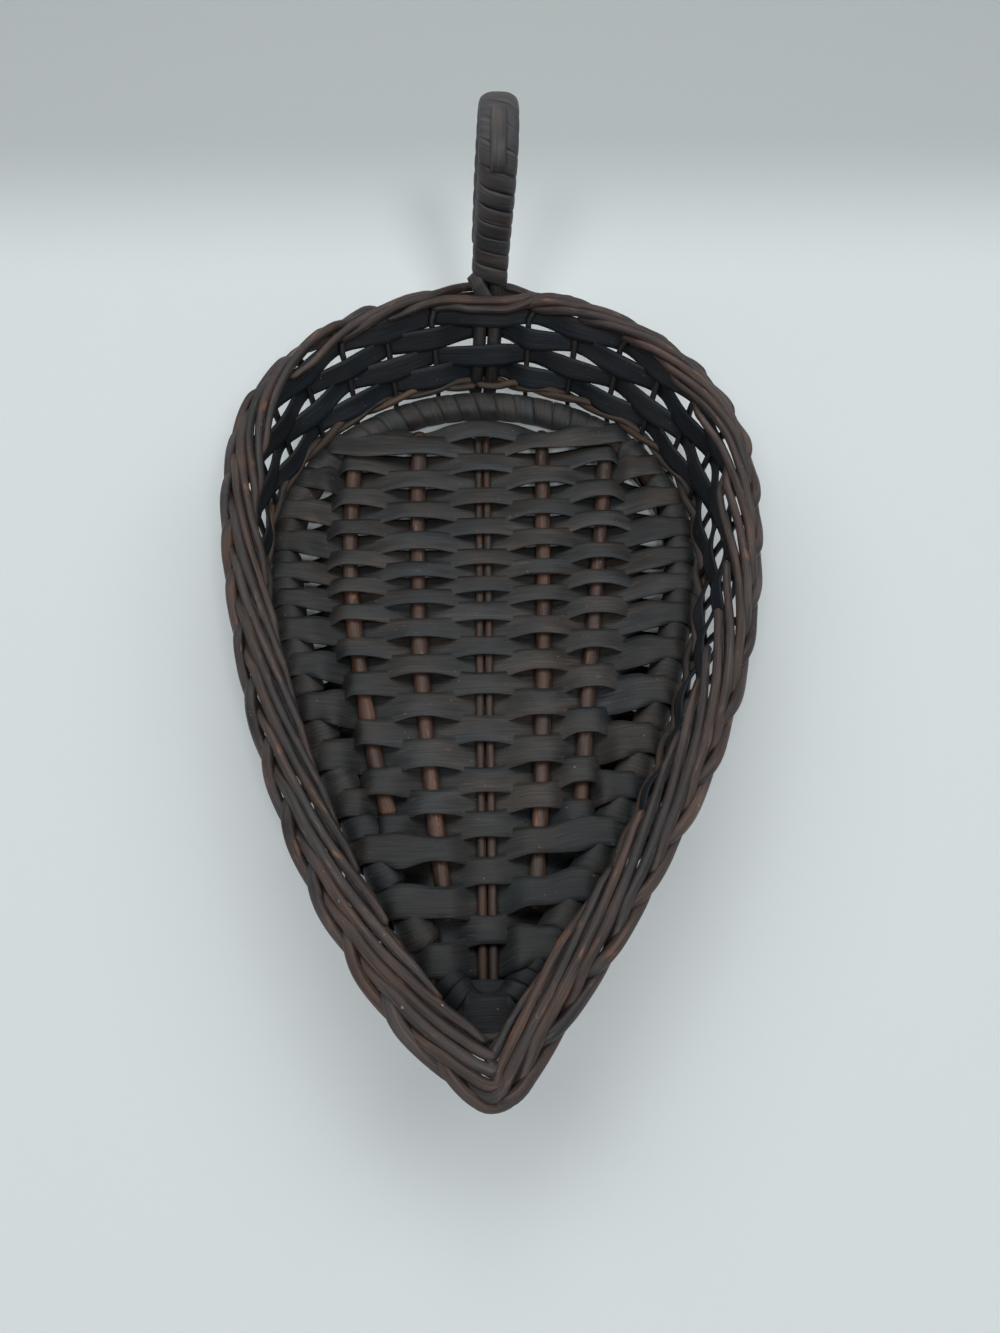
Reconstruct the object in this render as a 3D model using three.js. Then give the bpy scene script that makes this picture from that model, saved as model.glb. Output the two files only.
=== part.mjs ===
// Leaf-shaped serving tray basket in dark stained willow, with a wrapped loop handle at its rear.
// Millimetres, +Z up. The tip points to -Y, the handle stands at +Y, the base rests on Z = 0.
// A wrapped hoop carries a plain-woven base, stakes rise from it through four rows of splint,
// and each stake's thin end is rolled over the top to make the border.
import * as THREE from 'three';

// Base, measured over the wrapped hoop from its widest place
const baseHalfWidth = 91;
const baseRear = 85;
const baseFront = 205;
const baseTipRadius = 18;
const baseTipAngle = 39;
const baseNearPull = 70;
const baseFarPull = 38;

// Rim, measured over the border; the two sides are bent a little differently by hand
const rimRear = 108;
const rimFront = 235;
const rimTipRadius = 18;
const rimTipOffset = 2;
const rimLeft = { halfWidth: 103, widest: 9, tipAngle: 53, nearPull: 64, farPull: 68 };
const rimRight = { halfWidth: 108, widest: 4, tipAngle: 38, nearPull: 108, farPull: 66 };
const borderHeight = 48;

// Stock: rods, splints and the gap left between pieces that touch
const clearance = 0.35;
const splintThickness = 1.1;
const hoopRadius = 5;
const stickRadius = 3.3;
const centreRodRadius = 1.6;
const stakeRadius = 1.4;
const knuckleRadius = 1.9;
const stakeEndRadius = 1.1;
const twineRadius = 1.35;
const handleRadius = 3.1;

// Weave
const stakeCount = 36;
const baseRowCount = 27;
const baseRowPitch = 8.7;
const baseRowGap = 0.5;
const baseSplintWidest = 9.4;
const rowsPerBaseSplint = 7;
const approachReach = 8;
const wallRowCount = 4;
const wallRowGap = 0.45;
const rearTurnPitch = 9;
const rearTurnGap = 0.6;
const tipTurnPitch = 5.2;
const tipTurnGap = 1.6;
const twineEndGap = 0.15;

// Border: each rod climbs an arch from the outside over the top to the inside
const archRadius = 4.9;
const archStart = -17;
const borderRun = 5;
const rodSpacingFirst = 4.35;
const rodSpacingLast = 2.95;
const borderBand = 6.6;

// Base sticks: X at the rear end, halfway and at the tip end, and Y of the two ends
const outerLeftStick = { name: 'base_stick_outer_left', x: [-58, -54, -35], y: [36, -119] };
const innerLeftStick = { name: 'base_stick_inner_left', x: [-29.5, -26, -16], y: [62, -160] };
const innerRightStick = { name: 'base_stick_inner_right', x: [27.5, 24, 18], y: [62, -158] };
const outerRightStick = { name: 'base_stick_outer_right', x: [56, 46, 34], y: [36, -119] };
const centreRodEnds = [69, -182];

// Y of every fourth row of the base weave, whose rows lie closest together near the middle
const baseRowPlaces = [61, 22, -12, -39.5, -73.5, -115, -151, -192];
const rowsPerPlace = 4;

// Handle
const handleRodGap = 0.6;
const handleLoopHeight = 103;
const handleLoopRadius = 17.5;
const handleLean = 6;
const handleBareLegs = 8;
const handleTurnPitch = 7.5;
const handleTurnGap = 1.1;
const handleRearBare = 42.5;
const rearStrandTuck = 18;
const leaderWidth = 6.6;
const leaderBelowArc = 4;
const leaderArcAngle = 70;
const tieWidth = 4.2;
const tieSlant = 2.5;

// Faceting
const octagonHalf = Math.PI / 8;
const hoopSteps = 70;
const hoopSides = 8;
const rodSides = 5;
const stickSides = 6;
const handleSides = 8;

// Sizes that follow from the ones above
const degree = Math.PI / 180;
const halfCount = stakeCount / 2;
const wrapRadius = hoopRadius + clearance + splintThickness / 2;
const wrapOuter = wrapRadius + splintThickness / 2;
const wrapFlatHalf = wrapOuter * Math.tan(octagonHalf);
const hoopHeight = wrapOuter;
const footHeight = hoopHeight - wrapFlatHalf;
const footOffset = wrapOuter + clearance + stakeRadius;
const borderReach = archRadius + knuckleRadius;
const rowSwing = stakeRadius + clearance + splintThickness / 2;
const twineSwing = stakeRadius + clearance + twineRadius;
const twineLift = twineRadius + clearance;
const twineNeed = wrapOuter / Math.cos(octagonHalf) + clearance + twineRadius;
const twineLevel = Math.sqrt(twineNeed ** 2 - (footOffset - twineSwing) ** 2) + wrapFlatHalf;
const footBand = twineLevel + twineLift + twineRadius + clearance;
const handleSpread = handleRadius + handleRodGap / 2;
const handleHalfWidth = handleSpread + handleRadius;
const handleSeat = handleRadius - stakeRadius;

const finishes = {
  splint: { color: 0x3d3934, roughness: 0.62, metalness: 0 },
  stick: { color: 0x5f4132, roughness: 0.55, metalness: 0 },
  rod: { color: 0x52443e, roughness: 0.58, metalness: 0 },
  twine: { color: 0x55483a, roughness: 0.6, metalness: 0 },
  grip: { color: 0x44403f, roughness: 0.6, metalness: 0 },
};

const basket = new THREE.Group();

function addPiece(name, geometry, finish) {
  const mesh = new THREE.Mesh(geometry, new THREE.MeshStandardMaterial(finishes[finish]));
  mesh.name = name;
  basket.add(mesh);
}

// A closed solid from rings of equal point count, capped at the ends unless the last ring meets the first
function solidFromRings(rings, closed = false) {
  const sides = rings[0].length;
  const points = rings.flat();
  const faces = [];
  const spans = closed ? rings.length : rings.length - 1;
  for (let i = 0; i < spans; i += 1) {
    const here = i * sides;
    const next = ((i + 1) % rings.length) * sides;
    for (let j = 0; j < sides; j += 1) {
      const k = (j + 1) % sides;
      faces.push(here + j, next + j, next + k);
      faces.push(here + j, next + k, here + k);
    }
  }
  if (!closed) {
    const last = (rings.length - 1) * sides;
    for (let j = 1; j < sides - 1; j += 1) {
      faces.push(0, j, j + 1);
      faces.push(last, last + j + 1, last + j);
    }
  }
  let volume = 0;
  for (let i = 0; i < faces.length; i += 3) {
    const [a, b, c] = [points[faces[i]], points[faces[i + 1]], points[faces[i + 2]]];
    volume += a.dot(b.clone().cross(c));
  }
  if (volume < 0) faces.reverse();
  const geometry = new THREE.BufferGeometry();
  geometry.setAttribute('position', new THREE.Float32BufferAttribute(points.flatMap((p) => p.toArray()), 3));
  geometry.setIndex(faces);
  geometry.computeVertexNormals();
  return geometry;
}

// A round rod along a line of points, with its own radius at each point
function rodGeometry(line, radii, sides, closed = false) {
  const count = line.length;
  const rings = [];
  let side = null;
  for (let i = 0; i < count; i += 1) {
    const before = line[closed ? (i + count - 1) % count : Math.max(i - 1, 0)];
    const after = line[closed ? (i + 1) % count : Math.min(i + 1, count - 1)];
    const arriving = line[i].clone().sub(before).normalize();
    const leaving = after.clone().sub(line[i]).normalize();
    const along = arriving.add(leaving).normalize();
    if (side === null || closed) {
      const steady = Math.abs(along.z) > 0.9 ? new THREE.Vector3(0, 1, 0) : new THREE.Vector3(0, 0, 1);
      side = steady.cross(along).normalize();
    } else {
      side.addScaledVector(along, -side.dot(along)).normalize();
    }
    const across = along.clone().cross(side);
    const ring = [];
    for (let j = 0; j < sides; j += 1) {
      const angle = ((j + 0.5) / sides) * 2 * Math.PI;
      const point = line[i].clone();
      point.addScaledVector(side, radii[i] * Math.cos(angle));
      point.addScaledVector(across, radii[i] * Math.sin(angle));
      ring.push(point);
    }
    rings.push(ring);
  }
  return solidFromRings(rings, closed);
}

// One station of a flat splint: its two edges, and the way its thickness points
function station(edgeA, edgeB, face, thickness = splintThickness) {
  const half = face.clone().multiplyScalar(thickness / 2);
  return [edgeA.clone().add(half), edgeB.clone().add(half), edgeB.clone().sub(half), edgeA.clone().sub(half)];
}

// One half of a leaf outline from the rear centre to the tip, on the -X side
function halfLeaf(side, rear, front, tipRadius, tipX) {
  const points = [];
  const steps = 48;
  const arcSteps = 12;
  for (let i = 0; i < steps; i += 1) {
    const turn = (i / steps) * (Math.PI / 2);
    const depth = side.widest + (rear - side.widest) * Math.cos(turn);
    points.push(new THREE.Vector2(-side.halfWidth * Math.sin(turn), depth));
  }
  const angle = side.tipAngle * degree;
  const tipCentre = new THREE.Vector2(tipX, tipRadius - front);
  const onTip = (turn) => {
    const place = new THREE.Vector2(-Math.cos(turn), -Math.sin(turn));
    return place.multiplyScalar(tipRadius).add(tipCentre);
  };
  const widest = new THREE.Vector2(-side.halfWidth, side.widest);
  const heading = new THREE.Vector2(Math.sin(angle), -Math.cos(angle));
  const nearControl = widest.clone().add(new THREE.Vector2(0, -side.nearPull));
  const farControl = onTip(angle).addScaledVector(heading, -side.farPull);
  const curve = new THREE.CubicBezierCurve(widest, nearControl, farControl, onTip(angle));
  points.push(...curve.getPoints(steps).slice(0, -1));
  for (let i = 0; i <= arcSteps; i += 1) {
    points.push(onTip(THREE.MathUtils.lerp(angle, Math.PI / 2, i / arcSteps)));
  }
  return points;
}

// A closed leaf outline, read by length or by stake number.
// Both start at 0 at the rear and run along the -X side, round the tip and back along the +X side.
class Leaf {
  constructor(left, right, rear, front, tipRadius, tipX) {
    const leftHalf = halfLeaf(left, rear, front, tipRadius, tipX);
    const rightHalf = halfLeaf(right, rear, front, tipRadius, -tipX).map((p) => new THREE.Vector2(-p.x, p.y));
    this.points = [...leftHalf, ...rightHalf.reverse().slice(1)];
    this.lengths = [0];
    for (let i = 1; i < this.points.length; i += 1) {
      this.lengths.push(this.lengths[i - 1] + this.points[i].distanceTo(this.points[i - 1]));
    }
    this.total = this.lengths[this.lengths.length - 1];
    this.leftLength = this.lengths[leftHalf.length - 1];
  }

  point(length) {
    const wanted = ((length % this.total) + this.total) % this.total;
    let i = 1;
    while (this.lengths[i] < wanted && i < this.lengths.length - 1) i += 1;
    const share = (wanted - this.lengths[i - 1]) / (this.lengths[i] - this.lengths[i - 1]);
    return this.points[i - 1].clone().lerp(this.points[i], share);
  }

  outward(length) {
    const reach = 0.6;
    const along = this.point(length + reach).sub(this.point(length - reach)).normalize();
    return new THREE.Vector2(along.y, -along.x);
  }

  lengthAt(stake) {
    const turn = ((stake % stakeCount) + stakeCount) % stakeCount;
    if (turn <= halfCount) return (turn / halfCount) * this.leftLength;
    return this.leftLength + ((turn - halfCount) / halfCount) * (this.total - this.leftLength);
  }
}

const baseSide = {
  halfWidth: baseHalfWidth - wrapOuter,
  widest: 0,
  tipAngle: baseTipAngle,
  nearPull: baseNearPull,
  farPull: baseFarPull,
};
const hoop = new Leaf(
  baseSide,
  baseSide,
  baseRear - wrapOuter,
  baseFront - wrapOuter,
  baseTipRadius - wrapOuter,
  0,
);
const rim = new Leaf(rimLeft, rimRight, rimRear, rimFront, rimTipRadius, rimTipOffset);

// The wall's local frame at a stake number: foot, head, and the ways up the wall and outward
function wallFrame(stake) {
  const footLength = hoop.lengthAt(stake);
  const rimLength = rim.lengthAt(stake);
  const footFlat = hoop.point(footLength).addScaledVector(hoop.outward(footLength), footOffset);
  const headFlat = rim.point(rimLength).addScaledVector(rim.outward(rimLength), -borderReach);
  const outFlat = hoop.outward(footLength).add(rim.outward(rimLength)).normalize();
  const foot = new THREE.Vector3(footFlat.x, footFlat.y, footHeight);
  const head = new THREE.Vector3(headFlat.x, headFlat.y, borderHeight);
  const up = head.clone().sub(foot);
  const length = up.length();
  up.normalize();
  const along = new THREE.Vector3(-outFlat.y, outFlat.x, 0);
  const out = along.cross(up).normalize();
  return { foot, head, up, out, length };
}

function wallPoint(stake, outBy, upBy) {
  const frame = wallFrame(stake);
  return frame.foot.addScaledVector(frame.up, upBy).addScaledVector(frame.out, outBy);
}

function borderPoint(stake, outBy, upBy) {
  return wallPoint(stake, outBy, wallFrame(stake).length + upBy);
}

function easeStep(value, low, high) {
  const share = THREE.MathUtils.clamp((value - low) / (high - low), 0, 1);
  return share * share * (3 - 2 * share);
}

// The stretch of stake numbers that a length covers at the rear of the rim
function stakeShare(length) {
  return length / (rim.total / stakeCount);
}

function makeHoop() {
  const line = [];
  for (let i = 0; i < hoopSteps; i += 1) {
    const point = hoop.point((i / hoopSteps) * hoop.total);
    line.push(new THREE.Vector3(point.x, point.y, hoopHeight));
  }
  addPiece('base_hoop', rodGeometry(line, line.map(() => hoopRadius), hoopSides, true), 'stick');
}

// A point round the hoop: turn 0 is its top, a quarter turn its outside, half a turn its bottom
function roundHoop(length, turn, radius) {
  const centre = hoop.point(length);
  const outward = hoop.outward(length).multiplyScalar(radius * Math.sin(turn));
  return new THREE.Vector3(centre.x + outward.x, centre.y + outward.y, hoopHeight + radius * Math.cos(turn));
}

// A splint station at a corner of the wrap's octagon, its first edge on the given side of the length
function hoopStation(length, turn, width, frontSide) {
  const stretch = 1 / Math.cos(octagonHalf);
  const radius = wrapRadius * stretch;
  const front = roundHoop(length + (frontSide * width) / 2, turn, radius);
  const back = roundHoop(length - (frontSide * width) / 2, turn, radius);
  const face = roundHoop(length, turn, radius + 1).sub(roundHoop(length, turn, radius));
  return station(front, back, face, splintThickness * stretch);
}

// The share of a wrap's sideways step that is done after a turn: it moves only on the hoop's inner side
function innerShift(turn, turns) {
  const quarter = Math.PI / 2;
  let shift = 0;
  for (let i = 0; i < turns; i += 1) {
    const start = quarter * 2.5 + i * quarter * 4;
    shift += THREE.MathUtils.clamp((turn - start) / quarter, 0, 1);
  }
  return shift / Math.max(turns, 1);
}

// Stations of a base splint on the hoop, from a first corner, in the given sense, for a number of corners
function hoopCorners(fromLength, toLength, firstTurn, sense, corners, turns, onLeft) {
  const stations = [];
  const lapPitch = turns > 0 ? Math.abs(toLength - fromLength) / turns : baseRowPitch;
  const width = Math.min(baseRowPitch, lapPitch) - baseRowGap;
  for (let i = 0; i <= corners; i += 1) {
    const progress = i * 2 * octagonHalf;
    const length = THREE.MathUtils.lerp(fromLength, toLength, innerShift(progress - octagonHalf, turns));
    stations.push(hoopStation(length, firstTurn + sense * progress, width, onLeft ? 1 : -1));
  }
  return stations;
}

// A base stick's X at a given Y, on a smooth curve through its three given places
function stickX(stick, y) {
  const [rear, middle, tip] = stick.x;
  const share = THREE.MathUtils.clamp((stick.y[0] - y) / (stick.y[0] - stick.y[1]), 0, 1);
  const rearWeight = 2 * (share - 0.5) * (share - 1);
  const middleWeight = 4 * share * (1 - share);
  const tipWeight = 2 * share * (share - 0.5);
  return rearWeight * rear + middleWeight * middle + tipWeight * tip;
}

const baseSticks = [outerLeftStick, innerLeftStick, innerRightStick, outerRightStick];

function makeSticks() {
  const steps = 6;
  for (const stick of baseSticks) {
    const line = [];
    for (let i = 0; i <= steps; i += 1) {
      const y = THREE.MathUtils.lerp(stick.y[0], stick.y[1], i / steps);
      line.push(new THREE.Vector3(stickX(stick, y), y, hoopHeight));
    }
    addPiece(stick.name, rodGeometry(line, line.map(() => stickRadius), stickSides), 'stick');
  }
  const spread = centreRodRadius + clearance / 2;
  for (const [name, side] of [['centre_rod_left', -1], ['centre_rod_right', 1]]) {
    const line = centreRodEnds.map((y) => new THREE.Vector3(side * spread, y, hoopHeight));
    addPiece(name, rodGeometry(line, line.map(() => centreRodRadius), stickSides), 'stick');
  }
}

// Where a base row meets the hoop: the length along it whose inner approach point lies at the row's Y
function hoopLengthForRow(y, onLeft) {
  let low = onLeft ? 0 : hoop.leftLength;
  let high = onLeft ? hoop.leftLength : hoop.total;
  for (let i = 0; i < 40; i += 1) {
    const middle = (low + high) / 2;
    const approach = hoop.point(middle).addScaledVector(hoop.outward(middle), -approachReach);
    if ((approach.y > y) === onLeft) low = middle;
    else high = middle;
  }
  return (low + high) / 2;
}

function baseRowY(number) {
  const place = Math.min(Math.floor(number / rowsPerPlace), baseRowPlaces.length - 2);
  const share = number / rowsPerPlace - place;
  return THREE.MathUtils.lerp(baseRowPlaces[place], baseRowPlaces[place + 1], share);
}

const baseRows = Array.from({ length: baseRowCount }, (_, index) => {
  const number = index + 1;
  const y = baseRowY(number);
  const over = number % 2 === 0 ? 1 : -1;
  const room = Math.min(baseRowY(number - 1) - y, y - baseRowY(number + 1));
  const width = Math.min(room - baseRowGap, baseSplintWidest);
  const left = hoopLengthForRow(y, true);
  const right = hoopLengthForRow(y, false);
  const approachX = (length) => hoop.point(length).addScaledVector(hoop.outward(length), -approachReach).x;
  return { y, over, width, left, right, leftX: approachX(left), rightX: approachX(right) };
});

// Two rows that no wrap joins on a side are drawn together there, so that no bare hoop shows between them
function closeRowGaps() {
  for (let i = 0; i < baseRowCount - 1; i += 1) {
    const side = baseRows[i].over > 0 ? 'left' : 'right';
    const [here, next] = [baseRows[i], baseRows[i + 1]];
    const spare = Math.abs(next[side] - here[side]) - baseRowPitch;
    const shift = Math.sign(next[side] - here[side]) * Math.max(spare, 0) / 2;
    here[side] += shift;
    next[side] -= shift;
  }
}

closeRowGaps();

// A row's stations between its two ends, from -X to +X.
// Even rows go under the hoop and over the outer sticks, odd rows over the hoop and under the outer sticks.
function rowStations(row) {
  const half = row.width / 2;
  const face = new THREE.Vector3(0, 0, -row.over);
  const flat = (x, level) => station(
    new THREE.Vector3(x, row.y - half, hoopHeight + level),
    new THREE.Vector3(x, row.y + half, hoopHeight + level),
    face,
  );
  const ride = clearance + splintThickness / 2;
  const crossings = [{ x: 0, level: row.over * (centreRodRadius + ride), plateau: 2 * centreRodRadius }];
  for (const stick of baseSticks) {
    const reached = row.y - half < stick.y[0] && row.y + half > stick.y[1];
    const outer = stick === outerLeftStick || stick === outerRightStick;
    const level = (outer ? row.over : -row.over) * (stickRadius + ride);
    if (reached) crossings.push({ x: stickX(stick, row.y), level, plateau: stickRadius });
  }
  crossings.sort((a, b) => a.x - b.x);
  const stations = [];
  for (const crossing of crossings) {
    stations.push(flat(crossing.x - crossing.plateau, crossing.level));
    stations.push(flat(crossing.x + crossing.plateau, crossing.level));
  }
  const approachLevel = -row.over * (wrapRadius - splintThickness / 2);
  const first = crossings[0];
  const last = crossings[crossings.length - 1];
  if (first.x - first.plateau > row.leftX + half) stations.unshift(flat(row.leftX, approachLevel));
  if (last.x + last.plateau < row.rightX - half) stations.push(flat(row.rightX, approachLevel));
  return stations;
}

// Each base splint weaves several rows to and fro, and wraps the hoop between one row and the next
function makeBaseSplints() {
  const bottom = Math.PI;
  const halfWrap = 4;
  const fullTurn = 8;
  for (let start = 0; start < baseRowCount; start += rowsPerBaseSplint) {
    const end = Math.min(start + rowsPerBaseSplint, baseRowCount) - 1;
    const rings = [];
    for (let i = start; i <= end; i += 1) {
      const row = baseRows[i];
      const toRight = row.over > 0;
      if (i === start) {
        const from = toRight ? row.left : row.right;
        const turn = toRight ? octagonHalf : bottom - octagonHalf;
        rings.push(...hoopCorners(from, from, turn, toRight ? 1 : -1, halfWrap, 0, toRight));
      }
      const across = rowStations(row);
      rings.push(...(toRight ? across : across.reverse()));
      const here = toRight ? row.right : row.left;
      const turn = toRight ? bottom + octagonHalf : -octagonHalf;
      const sense = toRight ? -1 : 1;
      const after = baseRows[i + 1];
      const next = after ? (toRight ? after.right : after.left) : here;
      const turns = after ? Math.max(1, Math.round(Math.abs(next - here) / baseRowPitch)) : 1;
      if (i === end) {
        const last = THREE.MathUtils.lerp(here, next, (turns - 1) / turns);
        const corners = fullTurn * (turns - 1) + halfWrap;
        rings.push(...hoopCorners(here, last, turn, sense, corners, turns - 1, !toRight));
      } else {
        const corners = fullTurn * turns + halfWrap + 1;
        rings.push(...hoopCorners(here, next, turn, sense, corners, turns, !toRight));
      }
    }
    addPiece(`base_splint_${start / rowsPerBaseSplint + 1}`, solidFromRings(rings), 'splint');
  }
}

// The least gap between neighbouring turns of a winding, measured between facing edge points
function reportLeastGap(name, rings, perTurn) {
  let least = Infinity;
  for (let i = 0; i + perTurn < rings.length; i += 1) {
    for (const near of rings[i]) {
      for (const far of rings[i + perTurn]) least = Math.min(least, near.distanceTo(far));
    }
  }
  console.log(`${name}: least gap to itself ${least.toFixed(2)} mm`);
}

// A close winding round the bare stretches of the hoop, as one unbroken splint
function makeHoopWinding(name, fromLength, toLength, pitch, gap) {
  const perTurn = 8;
  const turns = Math.floor((toLength - fromLength) / pitch);
  const step = (toLength - fromLength) / turns;
  const rings = [];
  for (let i = 0; i <= (turns - 1) * perTurn; i += 1) {
    const length = fromLength + step * (0.5 + i / perTurn);
    rings.push(hoopStation(length, octagonHalf + i * 2 * octagonHalf, step - gap, 1));
  }
  reportLeastGap(name, rings, perTurn);
  addPiece(name, solidFromRings(rings), 'splint');
}

function makeHoopWindings() {
  const first = baseRows[0];
  const last = baseRows[baseRowCount - 1];
  const margin = baseRowPitch / 2;
  const rearStart = first.right + margin;
  const rearEnd = hoop.total + first.left - margin;
  makeHoopWinding('hoop_wrap_rear', rearStart, rearEnd, rearTurnPitch, rearTurnGap);
  makeHoopWinding('hoop_wrap_tip', last.left + margin, last.right - margin, tipTurnPitch, tipTurnGap);
}

// How far a woven strand swings at the stakes: to one side on even ones, to the other on odd ones.
// The handle's two legs stand at stake 0 and take a wider swing.
function weaveStops(swing, sign) {
  const stops = [];
  const handleReach = stakeShare(handleHalfWidth);
  const handleSwing = swing + handleSeat;
  for (let stake = 0; stake <= stakeCount; stake += 1) {
    const way = stake % 2 === 0 ? sign : -sign;
    const atHandle = stake % stakeCount === 0;
    const reach = atHandle ? handleReach : stakeShare(stakeRadius / 2);
    const outBy = atHandle ? handleSeat + way * handleSwing : way * swing;
    if (stake > 0) stops.push({ stake: stake - reach, outBy });
    if (stake < stakeCount) stops.push({ stake: stake + reach, outBy });
  }
  return stops;
}

// A wall row is a splint ring that passes inside one stake and outside the next
function makeWallRows() {
  const tipSpaces = [-1.5, -0.5, 0.5, 1.5].map((offset) => ({ stake: halfCount + offset, outBy: 0 }));
  for (let index = 0; index < wallRowCount; index += 1) {
    const sign = index % 2 === 0 ? 1 : -1;
    const stops = [...weaveStops(rowSwing, sign), ...tipSpaces].sort((a, b) => a.stake - b.stake);
    const rings = stops.map(({ stake, outBy }) => {
      const frame = wallFrame(stake);
      const pitch = (frame.length - footBand - borderBand) / wallRowCount;
      const low = footBand + index * pitch + wallRowGap / 2;
      const high = low + pitch - wallRowGap;
      return station(wallPoint(stake, outBy, low), wallPoint(stake, outBy, high), frame.out);
    });
    addPiece(`wall_splint_row_${index + 1}`, solidFromRings(rings, true), 'splint');
  }
}

// Two thin rods twined round the feet of the stakes, crossing between one stake and the next
function makeTwine() {
  for (const [name, sign] of [['foot_twine_a', 1], ['foot_twine_b', -1]]) {
    const line = [];
    const stops = weaveStops(twineSwing, sign);
    for (let i = 0; i < stops.length; i += 2) {
      const [leave, arrive] = [stops[i], stops[i + 1]];
      const rising = (i / 2) % 2 === 0 ? sign : -sign;
      const first = i === 0 ? leave.stake + twineEndGap : leave.stake;
      const final = i === stops.length - 2 ? arrive.stake - twineEndGap : arrive.stake;
      const halfway = (leave.stake + arrive.stake) / 2;
      line.push(wallPoint(first, leave.outBy, twineLevel));
      line.push(wallPoint(halfway, (leave.outBy + arrive.outBy) / 2, twineLevel + rising * twineLift));
      line.push(wallPoint(final, arrive.outBy, twineLevel));
    }
    addPiece(name, rodGeometry(line, line.map(() => twineRadius), rodSides), 'twine');
  }
}

// A border rod's place in the border's section, after a run of so many stake spaces
function archPlace(run) {
  const taper = (rodSpacingFirst - rodSpacingLast) / borderRun;
  const turn = archStart * degree + (rodSpacingFirst * run - (taper * run * run) / 2) / archRadius;
  return { outBy: archRadius * Math.cos(turn), upBy: archRadius * Math.sin(turn) };
}

// The same rod where the handle's legs stand in the border: outer rods pass behind them, inner rods in front
function partedPlace(run) {
  const middle = borderRun / 2;
  const reach = handleRadius + clearance + knuckleRadius;
  const inner = easeStep(run, middle - 0.15, middle + 0.15);
  const outerRise = rodSpacingFirst * (run - 1) - clearance;
  const innerRise = rodSpacingLast * (borderRun - 1 - run) + clearance;
  return {
    outBy: handleSeat + THREE.MathUtils.lerp(reach, -reach, inner),
    upBy: THREE.MathUtils.lerp(outerRise, innerRise, inner),
  };
}

function borderRodPoint(stake, run) {
  const place = archPlace(run);
  const fromHandle = Math.abs(stake + run - stakeCount);
  const reach = stakeShare(handleHalfWidth + knuckleRadius);
  const parting = 1 - easeStep(fromHandle, reach, 2.4 * reach);
  const parted = partedPlace(run);
  const outBy = THREE.MathUtils.lerp(place.outBy, parted.outBy, parting);
  const upBy = THREE.MathUtils.lerp(place.upBy, parted.upBy, parting);
  return borderPoint(stake + run, outBy, upBy);
}

function stakeName(stake) {
  if (stake === halfCount) return 'stake_tip';
  const left = stake < halfCount;
  const number = left ? stake : stakeCount - stake;
  return `stake_${left ? 'left' : 'right'}_${String(number).padStart(2, '0')}`;
}

// One stake: its foot stands against the hoop, it rises through the wall and its end lies in the border
function makeStakes() {
  const firstRun = 0.3;
  const handleReach = stakeShare(handleHalfWidth + knuckleRadius);
  for (let stake = 1; stake < stakeCount; stake += 1) {
    const runs = [firstRun];
    for (let run = 1; run <= borderRun; run += 0.5) runs.push(run);
    const handleRuns = [-1.8, -1, 1, 1.8].map((offset) => stakeCount - stake + offset * handleReach);
    const tipRuns = [-0.25, -0.12, 0.12, 0.25].map((offset) => halfCount - stake + offset);
    for (const run of [...handleRuns, ...tipRuns]) {
      const apart = Math.min(...runs.map((other) => Math.abs(other - run)));
      if (run > firstRun && run < borderRun && apart > 0.05) runs.push(run);
    }
    runs.sort((a, b) => a - b);
    const knuckle = archPlace(firstRun);
    const line = [
      wallPoint(stake, 0, 0),
      borderPoint(stake, 0, 1 - borderBand),
      borderPoint(stake + firstRun / 5, knuckle.outBy * 0.55, -borderBand / 2),
    ];
    const radii = [stakeRadius, stakeRadius, knuckleRadius];
    for (const run of runs) {
      line.push(borderRodPoint(stake, run));
      radii.push(THREE.MathUtils.lerp(knuckleRadius, stakeEndRadius, run / borderRun));
    }
    addPiece(stakeName(stake), rodGeometry(line, radii, rodSides), 'rod');
  }
}

// The handle's middle line: up the rear wall, over a round loop, and down outside the border
function handleLine() {
  const frame = wallFrame(0);
  const partedReach = 2 * (handleRadius + clearance + knuckleRadius);
  const top = borderPoint(0, handleSeat, archRadius);
  const gripY = top.y + handleRadius;
  const loopY = gripY + handleLoopRadius;
  const rearOut = handleSeat + partedReach;
  const tuckOut = handleSeat + 2 * handleRadius + 2 * clearance + splintThickness;
  const points = [
    wallPoint(0, handleSeat, 0),
    wallPoint(0, handleSeat, frame.length / 2),
    borderPoint(0, handleSeat, 0),
    top,
    new THREE.Vector3(0, gripY, top.z + handleBareLegs * 1.5),
    new THREE.Vector3(0, gripY, handleLoopHeight),
  ];
  const arcSteps = 6;
  for (let i = 1; i <= arcSteps; i += 1) {
    const turn = (i / arcSteps) * Math.PI;
    const reach = handleLoopRadius * Math.cos(turn);
    points.push(new THREE.Vector3(0, loopY - reach, handleLoopHeight + handleLoopRadius * Math.sin(turn)));
  }
  points.push(new THREE.Vector3(0, loopY + handleLoopRadius, handleLoopHeight - handleLoopRadius));
  points.push(borderPoint(0, rearOut + handleRadius, archRadius + handleBareLegs));
  points.push(borderPoint(0, rearOut, 0));
  points.push(borderPoint(0, tuckOut, -borderBand - handleRadius));
  points.push(borderPoint(0, tuckOut, -rearStrandTuck));
  const rise = handleLoopHeight + handleLoopRadius - borderHeight;
  for (const point of points) point.x += handleLean * Math.max(0, (point.z - borderHeight) / rise);
  return new THREE.CatmullRomCurve3(points, false, 'centripetal');
}

const handleCurve = handleLine();
const handleLength = handleCurve.getLength();

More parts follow.
